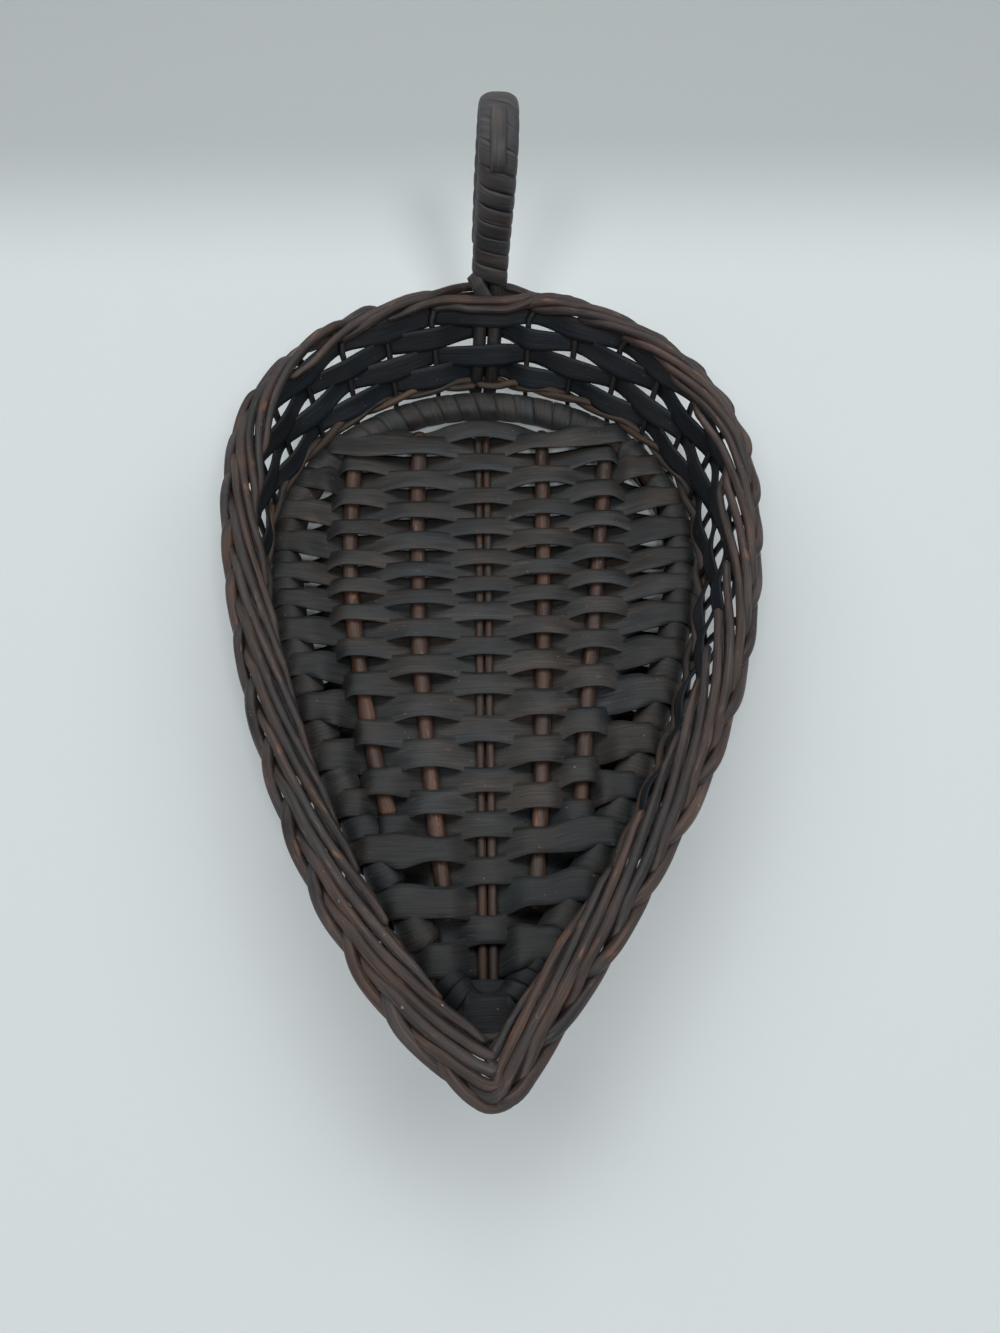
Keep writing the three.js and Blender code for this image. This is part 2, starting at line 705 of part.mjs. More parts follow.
// The handle's frame at a length along it: its middle, the way sideways and the way off its outer face
function handleFrame(length) {
  const share = THREE.MathUtils.clamp(length / handleLength, 0, 1);
  const along = handleCurve.getTangentAt(share);
  const sideways = new THREE.Vector3(1, 0, 0).addScaledVector(along, -along.x).normalize();
  const outer = sideways.clone().cross(along);
  return { middle: handleCurve.getPointAt(share), sideways, outer };
}

function handlePoint(length, sideBy, outBy) {
  const frame = handleFrame(length);
  return frame.middle.addScaledVector(frame.sideways, sideBy).addScaledVector(frame.outer, outBy);
}

// The length along the handle at which it first reaches a height
function handleLengthAt(height) {
  const step = 0.25;
  let length = 0;
  while (handlePoint(length, 0, 0).z < height) length += step;
  return length;
}

function makeHandle() {
  const steps = 30;
  for (const [name, side] of [['handle_rod_left', -1], ['handle_rod_right', 1]]) {
    const line = [];
    for (let i = 0; i <= steps; i += 1) {
      line.push(handlePoint((i / steps) * handleLength, side * handleSpread, 0));
    }
    addPiece(name, rodGeometry(line, line.map(() => handleRadius), handleSides), 'rod');
  }
  const wrapStart = handleLengthAt(borderPoint(0, handleSeat, archRadius).z + handleBareLegs);
  const perTurn = 8;
  const around = handleRadius + clearance + splintThickness / 2;
  const slope = around * Math.tan(octagonHalf);
  const corners = [
    [handleSpread + slope, around], [-handleSpread - slope, around],
    [-handleSpread - around, slope], [-handleSpread - around, -slope],
    [-handleSpread - slope, -around], [handleSpread + slope, -around],
    [handleSpread + around, -slope], [handleSpread + around, slope],
  ];
  const wrapLength = handleLength - wrapStart - handleRearBare;
  const turns = Math.round(wrapLength / handleTurnPitch);
  const turnPitch = wrapLength / turns;
  const half = (turnPitch - handleTurnGap) / 2;
  const rings = [];
  for (let i = 0; i <= turns * perTurn; i += 1) {
    const length = wrapStart + half + (i / perTurn) * turnPitch;
    const [sideBy, outBy] = corners[i % perTurn];
    const frame = handleFrame(length);
    const face = frame.sideways.clone().multiplyScalar(sideBy - Math.sign(sideBy) * handleSpread);
    face.addScaledVector(frame.outer, outBy).normalize();
    rings.push(station(
      handlePoint(length - half, sideBy, outBy),
      handlePoint(length + half, sideBy, outBy),
      face,
      splintThickness / Math.cos(octagonHalf),
    ));
  }
  reportLeastGap('handle_wrap', rings, perTurn);
  addPiece('handle_wrap', solidFromRings(rings), 'grip');
  makeLeader(around + splintThickness + clearance);
  makeTie(wrapStart, around);
}

// A flat splint laid lengthwise over the turns on the loop's outer face, near its top
function makeLeader(outBy) {
  const arcStart = handleLengthAt(handleLoopHeight);
  const from = arcStart - leaderBelowArc;
  const to = arcStart + handleLoopRadius * leaderArcAngle * degree;
  const steps = 8;
  const rings = [];
  for (let i = 0; i <= steps; i += 1) {
    const length = THREE.MathUtils.lerp(from, to, i / steps);
    const frame = handleFrame(length);
    const edge = (side) => handlePoint(length, (side * leaderWidth) / 2, outBy);
    rings.push(station(edge(-1), edge(1), frame.outer));
  }
  addPiece('handle_leader', solidFromRings(rings), 'grip');
}

// A flat tie slanting across the front of the bare legs, between the border and the first turn
function makeTie(wrapStart, outBy) {
  const middle = wrapStart - handleBareLegs / 2;
  const steps = 4;
  const rings = [];
  for (let i = 0; i <= steps; i += 1) {
    const sideBy = THREE.MathUtils.lerp(-handleHalfWidth, handleHalfWidth, i / steps);
    const length = middle + THREE.MathUtils.lerp(tieSlant, -tieSlant, i / steps) / 2;
    const frame = handleFrame(length);
    rings.push(station(
      handlePoint(length - tieWidth / 2, sideBy, outBy),
      handlePoint(length + tieWidth / 2, sideBy, outBy),
      frame.outer,
    ));
  }
  addPiece('handle_tie', solidFromRings(rings), 'grip');
}

makeHoop();
makeSticks();
makeBaseSplints();
makeHoopWindings();
makeTwine();
makeWallRows();
makeStakes();
makeHandle();

// The origin lies under the middle of the basket, at the surface that it rests on
const extent = new THREE.Box3().setFromObject(basket);
const middle = extent.getCenter(new THREE.Vector3());
basket.position.set(-middle.x, -middle.y, -extent.min.z);

export default basket;
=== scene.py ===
"""Looks of the leaf-shaped serving tray basket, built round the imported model.

Sizes are in millimetres in the outline's own frame, whose Y is 0 at the base's widest place, and every
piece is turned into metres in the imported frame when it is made. The floor and the lamps are in metres.
"""

import math

import bpy
import numpy as np
from mathutils import Matrix, Vector


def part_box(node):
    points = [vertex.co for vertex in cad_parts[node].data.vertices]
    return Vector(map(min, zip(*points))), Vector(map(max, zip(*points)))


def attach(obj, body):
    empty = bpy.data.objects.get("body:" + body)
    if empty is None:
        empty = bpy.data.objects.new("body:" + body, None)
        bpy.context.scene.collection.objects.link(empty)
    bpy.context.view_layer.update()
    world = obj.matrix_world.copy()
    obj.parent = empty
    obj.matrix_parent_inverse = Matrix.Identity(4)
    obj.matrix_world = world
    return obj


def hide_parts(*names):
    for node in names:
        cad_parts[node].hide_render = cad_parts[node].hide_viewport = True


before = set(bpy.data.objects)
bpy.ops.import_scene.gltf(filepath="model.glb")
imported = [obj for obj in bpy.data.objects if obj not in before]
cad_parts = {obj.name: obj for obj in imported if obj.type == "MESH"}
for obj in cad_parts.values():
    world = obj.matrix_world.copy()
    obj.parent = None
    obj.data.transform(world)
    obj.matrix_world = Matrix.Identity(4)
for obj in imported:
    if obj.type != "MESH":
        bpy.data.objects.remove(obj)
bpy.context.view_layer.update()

# Base outline as in the model's source, and the rim a few millimetres closer to the photograph
BASE = {"half_width": 91, "widest": 0, "tip_angle": 39, "near_pull": 70, "far_pull": 38}
BASE_REAR, BASE_FRONT, BASE_TIP_RADIUS = 85, 205, 18
RIM_LEFT = {"half_width": 103.5, "widest": 8.5, "tip_angle": 56, "near_pull": 57, "far_pull": 76}
RIM_RIGHT = {"half_width": 109.5, "widest": 4, "tip_angle": 36, "near_pull": 108, "far_pull": 76}
RIM_REAR, RIM_FRONT, RIM_TIP_RADIUS, RIM_TIP_OFFSET = 109, 235, 11, 2
BORDER_HEIGHT = 48
OUTLINE_POINTS = 60
TIP_POINTS = 16

# Stock
CLEARANCE = 0.35
SPLINT = 1.1
HOOP_RADIUS = 5
STICK_RADIUS = 3.2
STICK_BELOW = 0.6
CENTRE_ROD_RADIUS = 1.6
STAKE_RADIUS = 1.4
KNUCKLE_RADIUS = 2.15
STAKE_END_RADIUS = 1.6
TWINE_RADIUS = 1.7
HANDLE_RADIUS = 3.1

# Short and long wavelengths of a rod's swellings and of a splint's ragged edges
ROD_WAVES = (9, 31)
EDGE_WAVES = (13, 45)

# Weave
STAKES = 36
BASE_ROWS = 27
BASE_PITCH = 8.7
BASE_ROW_PLACES = (61, 22, -12, -39.5, -73.5, -115, -151, -192)
ROWS_PER_PLACE = 4
ROWS_PER_SPLINT = 7
APPROACH = 8
ROW_END_RISE = {"left": -1.5, "right": 4.0}
ROW_TILT = math.radians(6)
ROW_OVER_WIDTH = (1.02, 1.18)
ROW_UNDER_WIDTH = 1.58
ROW_UNDER_SHIFT = 1.8
RIDER_WIDTH = 1.2
PLAIN_WRAP_WIDTH = 1.05
ROW_LIFT = 0.5
ROW_SWAY = 0.05
ROW_SLANT_ZONE = (0.6, 0.95)
STICK_SEAT = 0.6
CENTRE_SEAT = 0.7
WRAP_STEPS = 8
WRAP_SPACING = 1.35
WIDEST_WRAP = 1.5
REAR_ROW_HALF = 54
REAR_ROW_DIP = 6
REAR_ROW_WIDTH = 10.4
WALL_ROWS = 4
WALL_BOW = 4.2
WALL_BOW_SIDES = (0.8, 2.6)
WALL_BOW_SKEW = 0.55
WALL_ROWS_LOW = 10.8
WALL_ROWS_MARGINS = (0.6, 5.4)
WALL_INSIDE_WIDTH = (1.12, 1.28)
WALL_OUTSIDE_WIDTH = (0.88, 1.0)
WALL_ROW_SWAY = 0.4
WALL_ROW_LAP = 0.12
TWINE_LEVEL = 9.0
TWINE_SWING = 1.5
TWINE_LIFT = 1.3
TWINE_END_LIFT = 0.6
REAR_TURN_PITCH = 9
TIP_TURN_PITCH = 5.2
WINDING_OVERLAP = 1.02
WINDING_SWAY = 0.15

# Border
ARCH_RADIUS = 4.9
BORDER_RUN = 5
ROD_SPACING_FIRST = 4.35
ROD_SPACING_LAST = 2.95
BORDER_BAND = 6.6
ROD_SWAY = 0.35
INNER_SPREAD_REAR = 0.85
LOOSE_LOOPS_LEFT = 1.1
LOOSE_LOOPS_START = (10, 13)
LOOSE_LOOPS_END = (15.4, 16.8)
REAR_ROD_RADIUS = 2.0
REAR_EVENNESS = 0.8
REAR_TAIL = (-2.3, -0.5)
TAIL_LENGTH = 0.8
TAIL_SPREAD = (-0.1, 1.3)
ROD_SIZES = (0.9, 1.15)
RODS_BEHIND = 2
RODS_IN_FRONT = 2
FRONT_ROD_STEP = 2.4
FRONT_ROD_MARGIN = 1.0
PARTING_REACH = 4.5
STAKE_WALL_RADII = (1.1, 1.1, 1.2, 1.3, 1.4, 1.5, 1.8)
STAKE_BEND_RADIUS = 1.9

# A stake's bend into the border: stakes on from its own, millimetres out, and shares of the band down
STAKE_BEND = ((-0.06, 0.6, 0.5), (-0.05, 1.2, 0.15))

# Where the rear passes into the side, as shares of the way round from the handle to the tip
WALL_REAR_ZONE = (0.2, 0.5)
BORDER_REAR_ZONE = (0.15, 0.45)
TUCKED_TAIL_ZONE = (0.3, 0.6)
LONG_TAIL_ZONE = (0.12, 0.3)
REAR_ROD_ZONE = (0.08, 0.3)

# The border's section: how many stakes on from its own a rod is, and how far out and up it lies there
BORDER_SECTION = (
    (0.0, 1.4, 1.0), (0.25, 3.4, 3.4), (0.5, 4.6, 2.6), (0.75, 4.9, 1.2), (1.0, 4.8, 0.1), (1.25, 4.4, -0.2),
    (1.5, 3.4, 0.1), (1.75, 1.9, 2.6), (2.0, 0.5, 4.3), (2.5, -0.6, 4.8), (3.5, -3.7, 3.6), (4.5, -7.1, 1.0),
    (5.0, -8.4, -0.9), (5.5, -7.8, -3.2), (6.5, -6.0, -5.5),
)

# Base sticks: X at the rear end, halfway and at the tip end, and Y of the two ends
STICKS = {
    "base_stick_outer_left": {"x": (-58, -54, -35), "y": (46, -130)},
    "base_stick_inner_left": {"x": (-29.5, -26, -14.5), "y": (62, -168)},
    "base_stick_inner_right": {"x": (27.5, 24, 17.5), "y": (62, -164)},
    "base_stick_outer_right": {"x": (56, 46, 34), "y": (46, -130)},
}
CENTRE_ROD_ENDS = (69, -182)
CENTRE_ROD_TUCK = 9
STICK_POINTS = 9
STICK_TAPER = (1.03, 0.92)
STICK_SWAY = 0.5
CENTRE_ROD_SWAY = 0.2

# Handle
HANDLE_POINTS = 60
HANDLE_ROD_GAP = 0.6
LOOP_HEIGHT = 103
LOOP_RADIUS = 17.5
HANDLE_LEAN = 5
HANDLE_OFFSET = 3.5
HANDLE_OFFSET_ZONE = (5, BORDER_HEIGHT - 8)
HANDLE_BARE_LEGS = 4
HANDLE_RISE = 12
HANDLE_TURN_PITCH = 7.5
HANDLE_SEAM_SLOPE = 0.15
HANDLE_REAR_BARE = 42.5
REAR_STRAND_TUCK = 18
LEADER_WIDTH = 6.6

# Camera, fitted to the photograph
CAMERA_PLACE = (1.05, -270.37, 351.05)
CAMERA_PITCH = math.radians(59.2)
CAMERA_YAW = math.radians(-1.43)
CAMERA_ROLL = math.radians(0.54)
FOCAL_PIXELS = 1001
IMAGE_HEIGHT = 1333
SENSOR = 36

# Sizes that follow
HALF = STAKES // 2
WRAP_RADIUS = HOOP_RADIUS + CLEARANCE + SPLINT / 2
WRAP_OUTER = WRAP_RADIUS + SPLINT / 2
WRAP_STEP = 2 * math.pi / WRAP_STEPS
WRAP_FLAT_HALF = WRAP_OUTER * math.tan(WRAP_STEP / 2)
HOOP_HEIGHT = WRAP_OUTER
FOOT_HEIGHT = HOOP_HEIGHT - WRAP_FLAT_HALF
FOOT_OFFSET = WRAP_OUTER + CLEARANCE + STAKE_RADIUS
BORDER_REACH = ARCH_RADIUS + KNUCKLE_RADIUS
ROW_SWING = STAKE_RADIUS + CLEARANCE + SPLINT / 2
HANDLE_SPREAD = HANDLE_RADIUS + HANDLE_ROD_GAP / 2
HANDLE_HALF_WIDTH = HANDLE_SPREAD + HANDLE_RADIUS
HANDLE_SEAT = HANDLE_RADIUS - STAKE_RADIUS
PARTED_REACH = HANDLE_RADIUS + CLEARANCE + KNUCKLE_RADIUS
STICK_TOP = STICK_RADIUS + SPLINT * STICK_SEAT
STICK_UNDER = -STICK_RADIUS * STICK_BELOW - SPLINT * STICK_SEAT
UP = np.array((0.0, 0.0, 1.0))
FRONT = np.array((0.0, -1.0, 0.0))

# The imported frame's shift, read from the centre rods, whose place in the outline's frame is known
rod_left_low, rod_left_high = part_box("centre_rod_left")
_, rod_right_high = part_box("centre_rod_right")
SHIFT = np.array(((rod_left_low.x + rod_right_high.x) / 2, rod_left_high.y - CENTRE_ROD_ENDS[0] / 1000, 0))


def ease(value, low=0.0, high=1.0):
    share = np.clip((value - low) / (high - low), 0, 1)
    return share * share * (3 - 2 * share)


def between(first, second, share):
    return first + (second - first) * share


def unit(vectors):
    return vectors / np.linalg.norm(vectors, axis=-1, keepdims=True)


def flat_point(flat, height):
    """Places over flat ones, at a height."""
    return np.concatenate((flat, np.full((*flat.shape[:-1], 1), height)), axis=-1)


def quarter_turn(flat):
    return np.stack((-flat[..., 1], flat[..., 0]), axis=-1)


def wander(along, wavelength, seed):
    """Smooth random values between -1 and 1 along a length."""
    place = (along - np.min(along)) / wavelength
    knots = np.random.default_rng(seed).uniform(-1, 1, int(place.max()) + 3)
    low = place.astype(int)
    share = ease(place - low)
    return knots[low] * (1 - share) + knots[low + 1] * share


def uneven(along, amount, waves, seed):
    """Factors near 1 along a length, from a short and a long random wave."""
    return 1 + amount * wander(along, waves[0], seed) + amount * wander(along, waves[1], seed + 1)


def lengths_along(line):
    return np.concatenate(((0,), np.cumsum(np.linalg.norm(np.diff(line, axis=0), axis=1))))


def read_line(line, lengths, wanted):
    """The places of a line at the wanted lengths."""
    return np.stack([np.interp(wanted, lengths, axis) for axis in line.T], axis=-1)


def resample(stations, step):
    """A smooth curve through stations whose first three columns are places, at about the given step."""
    stations = np.asarray(stations, float)
    chord = np.linalg.norm(np.diff(stations[:, :3], axis=0), axis=1)
    at = np.concatenate(((0,), np.cumsum(np.maximum(chord, 1e-6))))
    slopes = np.gradient(stations, at, axis=0)
    wanted = np.linspace(0, at[-1], max(int(at[-1] / step), 2) + 1)
    index = np.clip(np.searchsorted(at, wanted, "right") - 1, 0, len(at) - 2)
    span = (at[index + 1] - at[index])[:, None]
    t = (wanted[:, None] - at[index][:, None]) / span
    start = (1 + 2 * t) * (1 - t) ** 2 * stations[index]
    leave = t * (1 - t) ** 2 * span * slopes[index]
    end = t * t * (3 - 2 * t) * stations[index + 1]
    arrive = t * t * (t - 1) * span * slopes[index + 1]
    return start + leave + end + arrive


# Outlines
def half_leaf(side, rear, front, tip_radius, tip_x):
    """One half of a leaf outline from the rear centre to the tip, on the -X side."""
    angle = math.radians(side["tip_angle"])
    turn = np.linspace(0, math.pi / 2, OUTLINE_POINTS, endpoint=False)
    depth = side["widest"] + (rear - side["widest"]) * np.cos(turn)
    back = np.column_stack((-side["half_width"] * np.sin(turn), depth))
    tip_centre = np.array((tip_x, tip_radius - front))
    arc = np.linspace(angle, math.pi / 2, TIP_POINTS)
    tip = tip_centre + tip_radius * np.column_stack((-np.cos(arc), -np.sin(arc)))
    widest = np.array((-side["half_width"], side["widest"]))
    heading = np.array((math.sin(angle), -math.cos(angle)))
    near = widest + (0, -side["near_pull"])
    far = tip[0] - heading * side["far_pull"]
    t = np.linspace(0, 1, OUTLINE_POINTS, endpoint=False)[:, None]
    flank = (1 - t) ** 3 * widest + 3 * t * (1 - t) ** 2 * near + 3 * t * t * (1 - t) * far + t ** 3 * tip[0]
    return np.vstack((back, flank, tip))


class Leaf:
    """A closed leaf outline read by length: 0 at the rear, then the -X side, the tip and the +X side."""

    def __init__(self, left, right, rear, front, tip_radius, tip_x):
        left_half = half_leaf(left, rear, front, tip_radius, tip_x)
        right_half = half_leaf(right, rear, front, tip_radius, -tip_x) * (-1, 1)
        self.points = np.vstack((left_half, right_half[::-1][1:]))
        self.lengths = lengths_along(self.points)
        self.total = self.lengths[-1]
        self.left_length = self.lengths[len(left_half) - 1]

    def point(self, length):
        return read_line(self.points, self.lengths, np.mod(length, self.total))

    def outward(self, length):
        reach = 1.5
        along = unit(self.point(length + reach) - self.point(length - reach))
        return -quarter_turn(along)

    def length_at(self, stake):
        turn = np.mod(stake, STAKES)
        left = turn / HALF * self.left_length
        right = self.left_length + (turn - HALF) / HALF * (self.total - self.left_length)
        return np.where(turn <= HALF, left, right)


HOOP_SIDE = dict(BASE, half_width=BASE["half_width"] - WRAP_OUTER)
hoop_sizes = [size - WRAP_OUTER for size in (BASE_REAR, BASE_FRONT, BASE_TIP_RADIUS)]
hoop = Leaf(HOOP_SIDE, HOOP_SIDE, *hoop_sizes, tip_x=0)
rim = Leaf(RIM_LEFT, RIM_RIGHT, RIM_REAR, RIM_FRONT, RIM_TIP_RADIUS, RIM_TIP_OFFSET)

# The handle's half width and offset, in spaces between stakes
HANDLE_REACH = HANDLE_HALF_WIDTH / (rim.total / STAKES)
HANDLE_SHIFT = HANDLE_OFFSET / (rim.total / STAKES)


def from_rear(stake):
    """How far round from the handle a place is: 0 at the handle, 1 at the tip."""
    return 1 - np.abs(np.mod(stake, STAKES) - HALF) / HALF


def wall_frame(stake):
    """Foot, up, outward and length of the wall at stake numbers."""
    foot_length, rim_length = hoop.length_at(stake), rim.length_at(stake)
    foot_flat = hoop.point(foot_length) + hoop.outward(foot_length) * FOOT_OFFSET
    head_flat = rim.point(rim_length) - rim.outward(rim_length) * BORDER_REACH
    out_flat = unit(hoop.outward(foot_length) + rim.outward(rim_length))
    foot, head = flat_point(foot_flat, FOOT_HEIGHT), flat_point(head_flat, BORDER_HEIGHT)
    length = np.linalg.norm(head - foot, axis=-1)
    up = unit(head - foot)
    along = flat_point(quarter_turn(out_flat), 0.0)
    return foot, up, unit(np.cross(along, up)), length


def wall_point(stake, out_by, up_by):
    """A point of the wall, which rises close to the hoop before it flares."""
    foot, up, out, length = wall_frame(stake)
    share = np.clip(up_by / length, 0, 1)
    sides = between(*WALL_BOW_SIDES, ease(np.mod(stake, STAKES), HALF - 1, HALF + 2))
    depth = between(WALL_BOW, sides, ease(from_rear(stake), *WALL_REAR_ZONE))
    bow = depth * np.sin(math.pi * share ** WALL_BOW_SKEW)
    return foot + up * np.asarray(up_by)[..., None] + out * np.asarray(out_by - bow)[..., None]


def border_point(stake, out_by, up_by):
    return wall_point(stake, out_by, wall_frame(stake)[3] + up_by)


def on_own_side(stakes, points):
    """Which points of a border rod lie on their own side of the crease at the tip."""
    reach, overlap, near_tip = 20, 0.2, 2.5
    tip = rim.left_length
    crease = unit(rim.outward(tip - reach) + rim.outward(tip + reach))
    from_tip = points[:, :2] - rim.point(tip)
    right_by = crease[0] * from_tip[:, 1] - crease[1] * from_tip[:, 0]
    own_side = np.where(stakes < HALF, -right_by, right_by) > -overlap
    return own_side | (np.abs(stakes - HALF) > near_tip)


# Meshes
def add_object(name, data):
    thing = bpy.data.objects.new(name, data)
    bpy.context.scene.collection.objects.link(thing)
    return thing


def make_piece(node, slot, parts, look=None):
    """One object in place of a model node, from parts of (points, faces, fibre) in millimetres."""
    points, faces, fibre, start = [], [], [], 0
    for part_points, part_faces, part_fibre in parts:
        points.append(part_points)
        fibre.append(part_fibre)
        faces.extend([[corner + start for corner in face] for face in part_faces])
        start += len(part_points)
    mesh = bpy.data.meshes.new(node + "_look")
    mesh.from_pydata((np.vstack(points) / 1000 + SHIFT).tolist(), [], faces)
    mesh.attributes.new("fibre", "FLOAT_VECTOR", "POINT").data.foreach_set("vector", np.vstack(fibre).ravel())
    mesh.polygons.foreach_set("use_smooth", np.ones(len(mesh.polygons), bool))
    mesh.update()
    mesh.materials.append(materials[look or slot])
    piece = add_object(node + "_look", mesh)
    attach(piece, "root")
    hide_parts(node)


def skin(rings):
    """Quads between rings of equal point count, with the two ends capped."""
    count, sides = rings.shape[:2]
    corner = np.arange(count * sides).reshape(count, sides)
    here, there = corner[:-1], corner[1:]
    quads = np.stack((here, there, np.roll(there, -1, 1), np.roll(here, -1, 1)), axis=-1).reshape(-1, 4)
    return quads.tolist() + [corner[0].tolist(), corner[-1][::-1].tolist()]


def outward_faces(points, faces):
    """The faces turned so that the closed mesh encloses a positive volume."""
    volume = 0.0
    for face in faces:
        a = points[face[0]]
        for j in range(1, len(face) - 1):
            volume += np.dot(a, np.cross(points[face[j]], points[face[j + 1]]))
    return faces if volume > 0 else [face[::-1] for face in faces]


def closed_part(rings, along, across, seed):
    """A part of a piece from its rings, with every point's place along and across its strand."""
    fibre = np.empty(rings.shape)
    fibre[..., 0] = along[:, None]
    fibre[..., 1] = across
    fibre[..., 2] = seed
    points = rings.reshape(-1, 3)
    return points, outward_faces(points, skin(rings)), fibre.reshape(-1, 3)


def rod(line, radii, seed, sides=10, rough=0.06, step=1.6, below=1.0):
    """A rod with slight swellings along a smooth curve, its ends rounded; below flattens its underside."""
    bluntness, ovalness, oval_wave = 0.12, 0.05, 40
    curve = resample(np.column_stack((line, radii)), step)
    centre, radius = curve[:, :3], curve[:, 3].copy()
    along = lengths_along(centre)
    radius *= uneven(along, rough, ROD_WAVES, seed)
    rounding = np.clip(np.minimum(along, along[-1] - along) / radius, 0, 1)
    radius *= np.sqrt(np.clip(1 - (1 - rounding) ** 2, bluntness, 1))
    tangent = unit(np.gradient(centre, axis=0))
    side = np.cross(tangent[0], UP if abs(tangent[0][2]) < 0.9 else (0, 1, 0))
    sides_along = []
    for direction in tangent:
        side = unit(side - direction * np.dot(side, direction))
        sides_along.append(side)
    sides_along = np.array(sides_along)
    across = np.cross(tangent, sides_along)
    turn = np.arange(sides) / sides * 2 * math.pi
    oval = 1 + ovalness * np.cos(2 * turn[None, :] + 2 * wander(along, oval_wave, seed + 2)[:, None])
    reach = radius[:, None] * oval
    spoke = np.cos(turn)[None, :, None] * sides_along[:, None] + np.sin(turn)[None, :, None] * across[:, None]
    spoke[..., 2] *= np.where(spoke[..., 2] < 0, below, 1)
    rings = centre[:, None] + reach[..., None] * spoke
    return closed_part(rings, along, turn[None, :] * radius[:, None].mean(), seed)


def splint(stations, seed, thickness=SPLINT, crown=0.14, ragged=0.05, step=1.3, lanes=7):
    """A flat splint, whose stations give middle, way across, face, width and the way its crown points."""
    squaring, edge_thinning = 0.15, 0.35
    curve = resample(stations, step)
    centre, width = curve[:, :3], curve[:, 9]
    tangent = unit(np.gradient(centre, axis=0))
    across = curve[:, 3:6]
    across = unit(across - tangent * np.sum(across * tangent, axis=1, keepdims=True) * squaring)
    face = unit(curve[:, 6:9] - across * np.sum(curve[:, 6:9] * across, axis=1, keepdims=True))
    along = lengths_along(centre)
    low = width / 2 * uneven(along, ragged, EDGE_WAVES, seed)
    high = width / 2 * uneven(along, ragged, EDGE_WAVES, seed + 2)
    lane = np.linspace(-1, 1, lanes)
    offset = np.where(lane < 0, low[:, None] * lane, high[:, None] * lane)
    half = thickness / 2 * (1 - edge_thinning * lane ** 4)
    dome = crown * curve[:, 10:] * (1 - lane ** 2)
    middle = centre[:, None] + across[:, None] * offset[..., None]
    top = middle + face[:, None] * (dome + half)[..., None]
    bottom = middle + face[:, None] * (dome - half)[..., None]
    rings = np.concatenate((top, bottom[:, ::-1]), axis=1)
    return closed_part(rings, along, np.concatenate((offset, offset[:, ::-1]), axis=1), seed)


def station(middle, across, face, width, crown_way=1.0):
    return np.concatenate((middle, across, face, (width, crown_way)))


# Materials
def add_node(tree, kind, inputs=(), **settings):
    node = tree.nodes.new("ShaderNode" + kind)
    for key, value in settings.items():
        setattr(node, key, value)
    for key, value in dict(inputs).items():
        if isinstance(value, bpy.types.NodeSocket):
            tree.links.new(value, node.inputs[key])
        else:
            node.inputs[key].default_value = value
    return node


def add_material(name):
    material = bpy.data.materials.new(name)
    material.use_nodes = True
    return material, material.node_tree, material.node_tree.nodes["Principled BSDF"]


def fibre_noise(tree, fibre, scales, detail):
    """Noise stretched along a strand: the scales are per millimetre along and across it, and per seed."""
    place = add_node(tree, "VectorMath", {0: fibre, 1: scales}, operation="MULTIPLY").outputs[0]
    noise = add_node(tree, "TexNoise", {"Vector": place, "Scale": 1.0, "Detail": detail})
    return noise.outputs["Fac"]


def ramp(tree, value, stops):
    """A colour by value, from stops of a place and a colour or a grey's level."""
    node = add_node(tree, "ValToRGB", {"Fac": value})
    while len(node.color_ramp.elements) < len(stops):
        node.color_ramp.elements.new(0.5)
    for element, (place, colour) in zip(node.color_ramp.elements, stops):
        element.position = place
        element.color = (*np.broadcast_to(colour, 3), 1)
    return node.outputs["Color"]


def mix_colour(tree, share, first, second, blend="MIX"):
    """A mix of two colours, which are inputs 6 and 7 of the node, into its output 2."""
    inputs = {0: share, 6: first, 7: second}
    return add_node(tree, "Mix", inputs, data_type="RGBA", blend_type=blend).outputs[2]


def shade(tree, colour, value, stops):
    return mix_colour(tree, 1.0, colour, ramp(tree, value, stops), "MULTIPLY")


